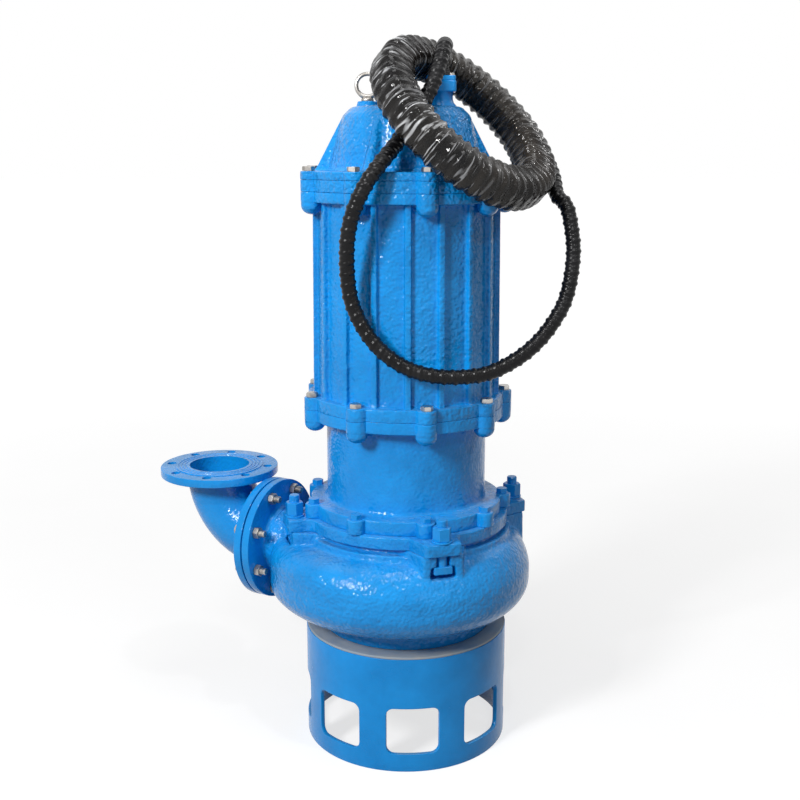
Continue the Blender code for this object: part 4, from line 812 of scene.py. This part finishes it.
discharge = {
    "angle": 151.8, "offset": 125, "reach": 292.6, "height": 473,
    "flange": 142.5, "thick": 19, "pitch": 120, "hole": 11, "holes": 8, "firstHole": 112.5,
    "pipe": 79.5, "bore": 72.5, "bend": 152, "face": 161, "gap": 1.8, "hub": 15, "rim": 2.2,
    "raised": 106, "raise": 2, "grooves": ((80, 84), (88, 92), (96, 100)), "grooveDepth": 1.4,
}
away = Vector((math.cos(math.radians(discharge["angle"])), math.sin(math.radians(discharge["angle"])), 0))
sideways = Vector((-away.y, away.x, 0))
jointPlace = sideways * discharge["offset"] + away * discharge["reach"] + zAxis * discharge["height"]
jointFrame = Matrix.Translation(jointPlace) @ Matrix((sideways, zAxis, away)).transposed().to_4x4()
topFlangePlace = jointPlace + (away + zAxis) * discharge["face"]
topFlangeFrame = Matrix.Translation(topFlangePlace) @ around(discharge["angle"])
holeTurns = evenAngles(discharge["holes"], discharge["firstHole"])


# A flange with its face at height 0 and a hub that runs down into the pipe, as (radius, height).
def flangeProfile(grooved=False):
    d = discharge
    raised, high = d["raised"], 0
    face = [(d["bore"], 0)]
    if grooved:  # turned sealing rings, which the photograph shows as dark circles
        for inner, outer in d["grooves"]:
            face += [(inner, 0), (inner + 0.8, -d["grooveDepth"]), (outer - 0.8, -d["grooveDepth"]), (outer, 0)]
        high = -d["raise"]
        face += [(raised - 0.7, 0), (raised, -0.8), (raised, high)]
    low = high - d["thick"]
    corners = [(raised, high), (d["flange"], high), (d["flange"], low), (raised, low)]
    rim = softCorners(corners, [0, d["rim"], d["rim"], 0])[1:-1]
    curve = ((12, 0), (7, 1.2), (3.4, 4), (1.2, 8), (0.2, d["hub"]))
    hub = [(d["pipe"] + out, low - down) for out, down in curve]
    return face + rim + hub + [(d["bore"], low - d["hub"])]


# A cylinder at each hole of a flange.
def holePlugs(place, radius, low, high, steps=24):
    return lathes(plug(radius, low, high), steps, atCircle(holeTurns, discharge["pitch"], place))


# A ring of points about a pipe that has turned upwards by this angle.
def pipeRing(centre, turn, radius, sides=72):
    over = zAxis * math.cos(turn) - away * math.sin(turn)
    return [centre + sideways * radius * c + over * radius * s for c, s in circle(sides)]


def makeElbow():
    d, steps = discharge, 40
    centre = jointPlace + away * (d["face"] - d["bend"]) + zAxis * d["bend"]
    stations = [(jointPlace + away * d["gap"], 0.0)]
    for i in range(steps + 1):
        turn = math.pi / 2 * i / steps
        stations.append((centre + (away * math.sin(turn) - zAxis * math.cos(turn)) * d["bend"], turn))
    stations.append((topFlangePlace - zAxis * 0.4, math.pi / 2))
    loops = [pipeRing(*station, d["pipe"]) for station in stations]
    loops += [pipeRing(*station, d["bore"]) for station in reversed(stations)]
    obj = shaped("elbow_body", addRings(bmesh.new(), loops, closed=True), 50)
    facing = jointFrame @ Matrix.Translation((0, 0, d["gap"])) @ Matrix.Rotation(math.pi, 4, "X")
    flanges = [lathes(flangeProfile(), 128, [facing]), lathes(flangeProfile(True), 128, [topFlangeFrame])]
    carve(obj, flanges, "UNION")
    carve(obj, [holePlugs(jointFrame, d["hole"], -4, 40), holePlugs(topFlangeFrame, d["hole"], -40, 4)])
    return dressed(obj, smoothEnamel, "blue_enamel", "discharge_elbow", smooth=32)


makeElbow()
print("elbow built")


volute = {
    "low": 280, "foot": 203, "keel": 321, "wall": 14, "bellyLow": 400, "bellyHigh": 430, "shoulder": 503,
    "roof": 28, "shoulderRadius": 256, "neck": 246, "neckStep": 519, "lip": 226, "bore": 200, "top": 531.6,
    "small": 262, "large": 330, "tongue": 140, "grow": 0.836, "cutback": 0.117, "roundSmall": 1.7,
    "roundLarge": 2.1, "flatTop": 1.45, "fullTop": 2.4, "lift": 20, "suction": 78, "nozzle": 83,
    "nozzleLength": 190, "nozzleDrop": 72, "boltPocket": 17, "pocketDepth": 19, "voxel": 3.0,
}
lugs = {
    "bolt": 270, "hole": 12.8, "neckWidth": 30, "headWidth": 54, "ledge": 506,
    "floors": (478, 478, 478, 486), "roomInner": 255,
    "roomOuter": (306, 306, 306, 285.5),  # the last lug stands over the nozzle
    "stand": [(205, -78), (232, -66), (284, -44), (284, 44), (232, 66), (205, 78)],
}
lugTurns = evenAngles(4, 16.4)


def spiralRadius(angle):
    turned = ((volute["tongue"] - angle) % 360) / 360
    if turned <= volute["grow"]:
        grown = turned / volute["grow"]
    else:
        back = min((turned - volute["grow"]) / volute["cutback"], 1)
        grown = (1 + math.cos(math.pi * back)) / 2
    return volute["small"] + (volute["large"] - volute["small"]) * grown


# Shares of the way up and out along a quarter of a rounded bulge; a higher power makes it fuller.
def quarterBulge(k, fine, power):
    share = math.sin(math.pi / 2 * k / fine)
    return share, max(0.0, 1 - share**power) ** (1 / power)


# Outline from the shoulder over the belly to the foot; it grows fuller towards the outlet.
def voluteSection(angle, inset, fine):
    v = volute
    belly = spiralRadius(angle) - inset
    grown = (belly + inset - v["small"]) / (v["large"] - v["small"])
    power = v["roundSmall"] + (v["roundLarge"] - v["roundSmall"]) * grown
    late = ease((grown - 0.72) / 0.24)
    topPower = v["flatTop"] + (v["fullTop"] - v["flatTop"]) * late
    middle = v["bellyHigh"] + v["lift"] * late
    foot, keel, reach = v["foot"] - inset, v["keel"] + inset, v["shoulderRadius"] - inset
    high = v["shoulder"] - (v["roof"] if inset else 0)
    points = []
    for k in range(fine, 0, -1):
        share, swell = quarterBulge(k, fine, topPower)
        points.append((reach + (belly - reach) * swell, middle + (high - middle) * share))
    points.append((belly, middle))
    for k in range(fine + 1):
        share, swell = quarterBulge(k, fine, power)
        points.append((foot + (belly - foot) * swell, v["bellyLow"] - (v["bellyLow"] - keel) * share))
    return points + [(foot, v["low"] + inset)]


def spiralShape(top, bottom, inset, steps, fine):
    bm = bmesh.new()
    loops = []
    for i in range(steps):
        angle = 360 * i / steps
        outline = top + voluteSection(angle, inset, fine) + bottom
        loops.append([bm.verts.new(around(angle) @ Vector((r, 0, z))) for r, z in outline])
    for first, second in zip(loops, loops[1:] + loops[:1]):
        for i in range(len(first) - 1):
            bm.faces.new((first[i], first[i + 1], second[i + 1], second[i]))
    bm.faces.new([loop[0] for loop in loops])
    bm.faces.new([loop[-1] for loop in loops])
    bmesh.ops.remove_doubles(bm, verts=bm.verts, dist=0.01)
    return bm


# A pipe that runs back from the discharge joint and sinks into the spiral.
def nozzleShape(radius, near, beyond, sides=64):
    steps, length, drop = 24, volute["nozzleLength"], volute["nozzleDrop"]
    stations = [(near, 0.0)]
    for k in range(1, steps + 1):
        stations.append((-length * k / steps, drop * ease((k / steps - 0.06) / 0.80)))
    stations.append((-length - beyond, drop))
    loops = [pipeRing(jointPlace + away * along - zAxis * fall, 0, radius, sides) for along, fall in stations]
    return addRings(bmesh.new(), loops)


# The stand under a lug: flared towards the neck, with a little draft.
def addPedestal(bm, place):
    outline = softCorners(lugs["stand"], [0, 4, 4, 4, 4, 0])
    loops = []
    for height, spread in ((440, 1.1), (480, 1.05), (505, 1.01), (528, 1.0), (531.4, 0.985)):
        loops.append([(min(x, 284 + (spread - 1) * 60), y * spread, height) for x, y in outline])
    addRings(bm, loops, place=place)


def makeVolute():
    v = volute
    step = v["neckStep"]
    neck = [(v["lip"], v["top"]), (v["lip"], step), (v["neck"], step), (v["neck"], v["shoulder"] + 3)]
    obj = shaped("volute_body", spiralShape(neck, [], 0.0, 180, 10))
    back = -discharge["gap"] - discharge["thick"]
    stands = bmesh.new()
    for angle in lugTurns:
        addPedestal(stands, around(angle))
    carve(obj, [nozzleShape(v["nozzle"], back + 3, 0), stands], "UNION")

    rooms = bmesh.new()
    upright = Matrix(((0, 0, 1, 0), (1, 0, 0, 0), (0, 1, 0, 0), (0, 0, 0, 1)))
    shank, head, inner = lugs["neckWidth"] / 2, lugs["headWidth"] / 2, lugs["roomInner"]
    for angle, outer, floor in zip(lugTurns, lugs["roomOuter"], lugs["floors"]):
        half = [(shank, 540), (shank, lugs["ledge"]), (head, lugs["ledge"]), (head + 3, floor)]
        slot = softCorners([(-x, z) for x, z in half] + half[::-1], [0, 2, 2, 4, 4, 2, 2, 0])
        middle = around(angle, (inner + outer) / 2) @ upright
        addPrism(rooms, slot, (inner - outer) / 2, (outer - inner) / 2, middle)
    pockets = holePlugs(jointFrame, v["boltPocket"], back - v["pocketDepth"], back, 32)
    mouth = [(v["bore"], v["top"] + 6), (v["bore"], v["shoulder"] - v["roof"])]
    eye = [(v["suction"], v["low"] + v["wall"]), (v["suction"], v["low"] - 6)]
    chamber = spiralShape(mouth, eye, v["wall"], 120, 6)
    carve(obj, [rooms, pockets, chamber, nozzleShape(discharge["bore"], 6, -3, 48)])

    setAll(obj.modifiers.new("Cast", "REMESH"), mode="VOXEL", voxel_size=v["voxel"] * mm)
    setAll(obj.modifiers.new("Soften", "SMOOTH"), factor=0.5, iterations=5)
    obj.modifiers.new("Fewer", "DECIMATE").ratio = 0.42
    bakeModifiers(obj)
    obj.data.shade_smooth()
    dressed(obj, castEnamel, "blue_enamel", "volute_casing")

    facing = jointFrame @ Matrix.Translation((0, 0, -discharge["gap"]))
    ring = shaped("volute_flange", lathes(flangeProfile(), 128, [facing]))
    carve(ring, [holePlugs(jointFrame, discharge["hole"], -40, 4)])
    return dressed(ring, smoothEnamel, "blue_enamel", smooth=32)


makeVolute()
print("volute cast")


bolt = {"width": 24, "head": 10, "nut": 13, "stud": 27, "radius": 8, "collar": 11.2, "thread": 2, "place": 228}


# A hexagon bolt along Z: its head above high, its thread down to low, and a nut under that.
def hexBoltMesh(name, low, high, nut=False):
    radius, thread = bolt["radius"], bolt["thread"]
    bm = lathes(plug(bolt["collar"], high, high + 0.8), 36, [here])
    addHex(bm, bolt["width"], high + 0.7, high + bolt["head"])
    end = low - bolt["stud"] if nut else low
    profile = [(0, end), (radius - 1.6, end), (radius - 0.4, end + 1.4)]
    if nut:
        for k in range(int((bolt["stud"] + 6) / thread)):
            base = end + 1.6 + thread * k
            profile += [(radius, base + 0.3), (radius, base + 0.7), (radius - 1.1, base + 1.4)]
        addHex(bm, bolt["width"], low - bolt["nut"], low, lowChamfer=True)
    profile += [(radius, profile[-1][1] + 1), (radius, high + 2), (0, high + 2)]
    addLathe(bm, profile, 24)
    return meshOf(name, bm, 28)


# Puts a copy of a mesh at each place, spun by chance as far as it is loose.
def setBolts(mesh, name, places, material, slot, nodes=None, loose=60):
    for i, place in enumerate(places):
        obj = makeObject(f"{name}_{i + 1}_piece", mesh)
        turned = Matrix.Rotation(math.radians(random.uniform(0, loose)), 4, "Z")
        obj.matrix_world = Matrix.Translation(obj.location) @ scaledPlace(place) @ turned
        dressed(obj, material, slot, *([f"{nodes}_{i + 1}"] if nodes else []))


# A place in millimetres as one in metres.
def scaledPlace(place):
    return Matrix.Translation(place.translation * mm) @ place.to_3x3().to_4x4()


frameTurns = evenAngles(9, 10.9)
frameBolts = atCircle(frameTurns, bolt["place"])
setBolts(hexBoltMesh("discharge_bolt_mesh", -21.4, 21.4, nut=True), "discharge_bolt",
         atCircle(holeTurns, discharge["pitch"], jointFrame), stainless, "zinc_steel", "discharge_bolt")
for name, low, high in (("base_bolt", 793, 842.6), ("cover_bolt", 1282, 1343.6)):
    setBolts(hexBoltMesh(name + "_mesh", low, high), name, frameBolts, stainless, "zinc_steel", name)


def housingBoltMesh():
    bm = lathes(plug(13.5, 590, 593), 36, [here])
    addHex(bm, bolt["width"], 592.6, 603)
    return meshOf("housing_bolt_mesh", bm, 30)


housingTurns = evenAngles(9, 10.65)
setBolts(housingBoltMesh(), "housing_bolt", atCircle(housingTurns, bolt["place"]), boltEnamel, "blue_enamel")

teeBolt = {
    "radius": 12, "top": 610, "nut": 37, "nutHeight": 30, "washer": 23, "thick": 4, "seat": 559.3,
    "head": [(-14, -21), (14, -21), (14, 21), (-14, 21)], "headLow": 488.7, "headHigh": 505.7,
    "thread": 3, "threadLow": 590, "threads": 6,
}


# T-bolt, washer and tall nut, painted in place.
def teeBoltMesh():
    t = teeBolt
    radius, seat, top = t["radius"], t["seat"], t["seat"] + t["thick"]
    bm = addPrism(bmesh.new(), softCorners(t["head"], 3), t["headLow"], t["headHigh"], edge=1.2)
    washer = [(0, seat), (t["washer"], seat), (t["washer"], top), (0, top)]
    addLathe(bm, softCorners(washer, [0, 0.6, 1, 0]), 48)
    addHex(bm, t["nut"], top - 0.2, top + t["nutHeight"], lowChamfer=True, sides=48)
    profile = [(0, 502), (radius, 502), (radius, t["threadLow"])]
    for k in range(t["threads"]):
        base = t["threadLow"] + t["thread"] * k
        profile += [(radius, base + 0.8), (radius - 0.9, base + 2), (radius, base + t["thread"])]
    addLathe(bm, profile + [(radius - 1.6, t["top"]), (0, t["top"])], 32)
    return meshOf("tee_bolt_mesh", bm, 30)


setBolts(teeBoltMesh(), "tee_bolt", atCircle(lugTurns, lugs["bolt"]), boltEnamel, "blue_enamel", "tee_bolt", 0)
print("bolts set")


evenTurns = np.arange(720) * fullTurn / 720


cover = {
    "radius": 240.0, "low": 532, "high": 559,
    "lug": [(200, -76), (226, -64), (291, -40), (291, 40), (246, 40), (232, 58), (200, 66)],
    "lugRounds": [0, 8, 7, 7, 10, 14, 0],
    "inside": [(559, 150), (455, 150), (455, 44), (440, 44), (440, 165), (505, 198.4), (532, 198.4)],
}


def makeCasingCover():
    outline = softCorners(cover["lug"], cover["lugRounds"], 5)
    reach = np.full(len(evenTurns), cover["radius"])
    for angle in lugTurns:
        gaps = (evenTurns - math.radians(angle) + math.pi) % fullTurn - math.pi
        near = np.abs(gaps) < 0.6
        reach[near] = np.maximum(reach[near], rayReach(outline, gaps[near]))
    levels = rimLevels(reach, cover["low"], cover["high"], 1.6, 3) + cover["inside"]
    obj = casting("casing_cover_ring", evenTurns, levels)
    carve(obj, [lathes(plug(lugs["hole"], 520, 570), 24, atCircle(lugTurns, lugs["bolt"]))])
    return dressed(obj, castEnamel, "blue_enamel", "casing_cover", smooth=35)


makeCasingCover()


# What the four flanges round the motor share: a disc with nine bosses.
bosses = {"flange": 226, "place": 222, "radius": 24}


def frameFlange(turns):
    return bossedDisc(turns, bosses["flange"], frameTurns, bosses["place"], bosses["radius"])


# Round-ended bosses that hang below a flange, a little slimmer than those of its outline.
def hangingBosses(low, high, reach):
    bottom, radius = low - reach, bosses["radius"] - 0.3
    profile = [(0, bottom)]
    for k in range(1, 9):
        turn = math.pi / 2 * k / 8
        profile.append((radius * math.sin(turn), bottom + (radius - radius * math.cos(turn)) * 0.85))
    return lathes(profile + [(radius, high), (0, high)], 32, atCircle(frameTurns, bosses["place"]))


housing = {
    "radius": 186.0, "flange": 225, "low": 559.4, "flangeTop": 591.3, "upperLow": 787, "high": 814,
    "boss": 20.5, "fillet": 12, "upperFillet": 8, "hang": 24, "hangTop": 800,
    "inside": [(814, 85.3), (773.7, 85.3), (773.7, 73.3), (752, 73.3), (752, 150), (575.3, 150), (575.3, 55.3),
               (559.4, 55.3)],
}


def makeSealHousing():
    h = housing
    lowerFlange = bossedDisc(evenTurns, h["flange"], housingTurns, bolt["place"], h["boss"])

    def body(z):
        return np.full(len(evenTurns), h["radius"])

    levels = rimLevels(lowerFlange, h["low"], h["flangeTop"], 1.5, 3.5)
    levels += filletLevels(h["flangeTop"], h["fillet"], body)
    levels += [(z, body(z)) for z in (640, 690, 740, 775)]
    levels += filletLevels(h["upperLow"], -h["upperFillet"], body)
    levels += rimLevels(frameFlange(evenTurns), h["upperLow"], h["high"], 3, 1.3)
    obj = casting("seal_housing_body", evenTurns, levels + h["inside"])
    carve(obj, [hangingBosses(h["upperLow"], h["hangTop"], h["hang"])], "UNION")
    return dressed(obj, evenEnamel, "blue_enamel", "seal_housing", smooth=35)


makeSealHousing()
print("housing built")


motor = {
    "low": 814.4, "base": 842.3, "topLow": 1276, "high": 1299, "body": 205, "bodyTop": 201, "bore": 184.4,
    "ribs": 18, "ribFirst": 0.7, "fillet": 6, "hang": 26, "hangTop": 1290,
    "ribShape": ([0, 4.2, 5.4, 6.2, 6.8, 7.4, 8.4, 10.0, 12.5], [11, 11, 10.7, 9.8, 7.5, 3.2, 1.4, 0.4, 0]),
}


# Rays that fall on the edges of the ribs and bosses.
def motorTurns():
    offsets = [6.35 * s for s in (0, 0.12, 0.25, 0.4, 0.55, 0.68, 0.8, 0.88, 0.94, 0.98)]
    offsets = [side * o for o in offsets for side in (1, -1)]
    for rib in (-10.2, 9.8):
        for across in motor["ribShape"][0]:
            step = math.degrees(across / motor["body"])
            offsets += [rib + step, rib - step]
    offsets += [14.6, 16.4, 18.2, 20.0, -14.6, -16.4, -18.2]
    turns = sorted({round((centre + o) % 360, 3) for centre in frameTurns for o in offsets})
    kept = turns[:1]
    for turn in turns[1:]:
        if turn - kept[-1] > 0.06:
            kept.append(turn)
    return np.radians(kept)


def makeMotorFrame():
    m, turns = motor, motorTurns()
    across = np.abs(nearest(turns, evenAngles(m["ribs"], m["ribFirst"]))) * m["body"]
    rib = np.interp(across, *m["ribShape"])
    flange = frameFlange(turns)
    tall = m["topLow"] - m["base"]

    def body(z):
        return m["body"] + (m["bodyTop"] - m["body"]) * (z - m["base"]) / tall + rib

    levels = rimLevels(flange, m["low"], m["base"], 1.3, 3) + filletLevels(m["base"], m["fillet"], body)
    levels += [(z, body(z)) for z in (m["base"] + tall * k / 12 for k in range(1, 12))]
    levels += filletLevels(m["topLow"], -m["fillet"], body) + rimLevels(flange, m["topLow"], m["high"], 3, 1.3)
    obj = casting("motor_frame_body", turns, levels + [(m["high"], m["bore"]), (m["low"], m["bore"])])
    carve(obj, [hangingBosses(m["topLow"], m["hangTop"], m["hang"])], "UNION")
    return dressed(obj, castEnamel, "blue_enamel", "motor_frame", smooth=35)


shield = {
    "low": 1299.4, "high": 1324.9,
    "inside": [(1324.9, 70.3), (1289.7, 70.3), (1289.7, 60.3), (1284, 60.3), (1284, 92), (1299.4, 92)],
}


def makeEndShield():
    levels = rimLevels(frameFlange(evenTurns), shield["low"], shield["high"], 1.2, 1.2)
    levels += shield["inside"]
    obj = casting("end_shield_ring", evenTurns, levels)
    return dressed(obj, hammeredEnamel, "blue_enamel", "upper_end_shield")


makeMotorFrame()
makeEndShield()
print("motor frame built")


dome = {
    "low": 1325.4, "flange": 1343.3, "base": 178, "shoulder": 142, "shoulderHigh": 1462,
    "ribs": 6, "ribFirst": -25, "foot": 26, "ribHeight": 114, "crest": 3.4, "flare": 0.62, "fillet": 9,
    "crown": [(145, 1452.5), (142, 1462), (122, 1481), (60, 1482.5)],
    "inside": [(1483, 1), (1470, 1), (1470, 111), (1451, 131), (1343.3, 167), (1325.4, 167)],
}
eyes = {"lifting_eye_left": 180, "lifting_eye_back": 90}
eye = {"place": 86, "seat": 1493.3, "ring": 24.5, "thick": 4.5, "stem": 7}
gland = {"place": (75, -10, 0), "neck": 27, "low": 1512, "high": 1547, "width": 68, "depth": 56, "cap": 11}


def makeTopCover():
    d = dome
    gap = np.abs(nearest(evenTurns, evenAngles(d["ribs"], d["ribFirst"])))

    def body(z):
        share = np.clip((z - d["flange"]) / (d["shoulderHigh"] - d["flange"]), 0, 1)
        radius = d["base"] + (d["shoulder"] - d["base"]) * share
        tall = d["foot"] * max(0.0, 1 - (z - d["flange"]) / d["ribHeight"])
        across = gap * radius
        slope = np.clip(1 - (across - d["crest"]) / (5 + d["flare"] * tall), 0, 1)
        return radius + tall * np.where(across < d["crest"], 1.0, ease(slope) * 0.6 + slope * 0.4)

    levels = rimLevels(frameFlange(evenTurns), d["low"], d["flange"], 1.2, 3)
    levels += [(z, np.minimum(radii, 222)) for z, radii in filletLevels(d["flange"], d["fillet"], body)]
    levels += [(z, body(z)) for z in (1358, 1368, 1380, 1394, 1408, 1422, 1436, 1446, 1452)]
    levels += [(z, radius) for radius, z in softCorners(d["crown"], [0, 9, 8, 0], 6)[1:]]
    obj = casting("top_cover_body", evenTurns, levels + d["inside"])
    pad = softCorners([(0, 1474), (30, 1474), (24, 1484.5), (22, 1493), (0, 1493)], [0, 0, 5, 2, 0], 4)
    carve(obj, [lathes(pad, 40, atCircle(eyes.values(), eye["place"]))], "UNION")
    return dressed(obj, hammeredEnamel, "blue_enamel", "top_cover", smooth=35)


# Stuffing box: a round neck, a square box with a bolted cap, and the rubber boot round the conduit.
def makeGland():
    g = gland
    spot = Matrix.Translation(g["place"])
    high, w2, d2 = g["high"], g["width"] / 2, g["depth"] / 2
    corners = ((-1, -1), (1, -1), (1, 1), (-1, 1))

    def square(inset, cut):
        return softCorners([(x * (w2 - inset), y * (d2 - inset)) for x, y in corners], cut, 5)

    bm = addPrism(bmesh.new(), square(0, 9), g["low"], high - g["cap"], spot, edge=2)
    addPrism(bm, square(1.5, 8), high - g["cap"] - 0.4, high - 0.3, spot, edge=1.6)
    neck = [(0, 1481.4), (36, 1481.4), (34, 1484), (29.5, 1489), (g["neck"], 1496), (g["neck"], 1507)]
    addLathe(bm, neck + [(30, 1514), (0, 1514)], 64, spot)
    dressed(shaped("cable_gland_box", bm, 32), boltEnamel, "blue_enamel", "cable_gland")
    screws = bmesh.new()
    for x, y in corners:
        at = spot @ Matrix.Translation((x * (w2 - 10), y * (d2 - 10), 0))
        addHex(screws, 10, high - 1, high + 5, at, sides=24)
        addLathe(screws, plug(6.4, high - 1, high + 0.6), 24, at)
    dressed(shaped("gland_screws", screws, 30), stainless, "zinc_steel")
    boot = [(16.4, 1546), (23, 1546), (23, 1549), (21.5, 1551.5), (21.5, 1554), (20, 1556), (20, 1559),
            (18.4, 1561), (17.6, 1566), (16.4, 1566)]
    bm = lathes(softCorners(boot, 0.8, 2), 48, [spot])
    dressed(shaped("gland_boot", bm, 40), sheetRubber, "black_rubber")


# Forged eye bolts: ring, swelling foot, collar and thread.
def makeEyes():
    seat = eye["seat"]
    centre = Vector((0, 0, seat + eye["stem"] + eye["ring"] + eye["thick"] / 2))
    collar = [(0, seat), (14, seat), (14, seat + 5), (9, seat + 8.5), (5, seat + 12), (0, seat + 12)]
    for name, angle in eyes.items():
        loops = []
        for c, s in circle(64):
            outwards = Vector((c, 0, s))
            thick = eye["thick"] * (1 + 0.28 * max(0.0, -s) ** 3)
            middle = centre + outwards * eye["ring"]
            loops.append([middle + outwards * thick * a + Vector((0, thick * b, 0)) for a, b in circle(20)])
        bm = addRings(bmesh.new(), loops, closed=True)
        addLathe(bm, softCorners(collar, [0, 1, 1.6, 2, 2, 0]), 40)
        addLathe(bm, [(0, seat - 18), (7.4, seat - 18), (8, seat - 16), (8, seat + 1), (0, seat + 1)], 24)
        ring = shaped(name + "_ring", bm, 40, shaftAxis + around(angle, eye["place"]).translation)
        ring.rotation_euler.z = math.radians(180 - angle)
        dressed(ring, stainless, "zinc_steel", name)


makeTopCover()
makeGland()
makeEyes()
print("top cover built")


inside = [
    (greyIron, "impeller agitator rotor_core stator_core"),
    (machinedSteel, "pump_shaft seal_head lower_outer_race lower_inner_race lower_ball_cage"),
    (machinedSteel, "upper_outer_race upper_inner_race upper_ball_cage"),
    (stainless, "agitator_nut"),
    (copper, "stator_winding"),
    (ceramic, "seal_seat"),
    (sheetRubber, "discharge_gasket"),
]

for material, names in inside:
    for name in names.split():
        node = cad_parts[name]
        node.data.materials.clear()
        node.data.materials.append(material)
        node.modifiers.new("Weld", "WELD").merge_threshold = 0.02 * mm
        addBevel(node, 0.8, 2, 42)
print("inner pieces finished")
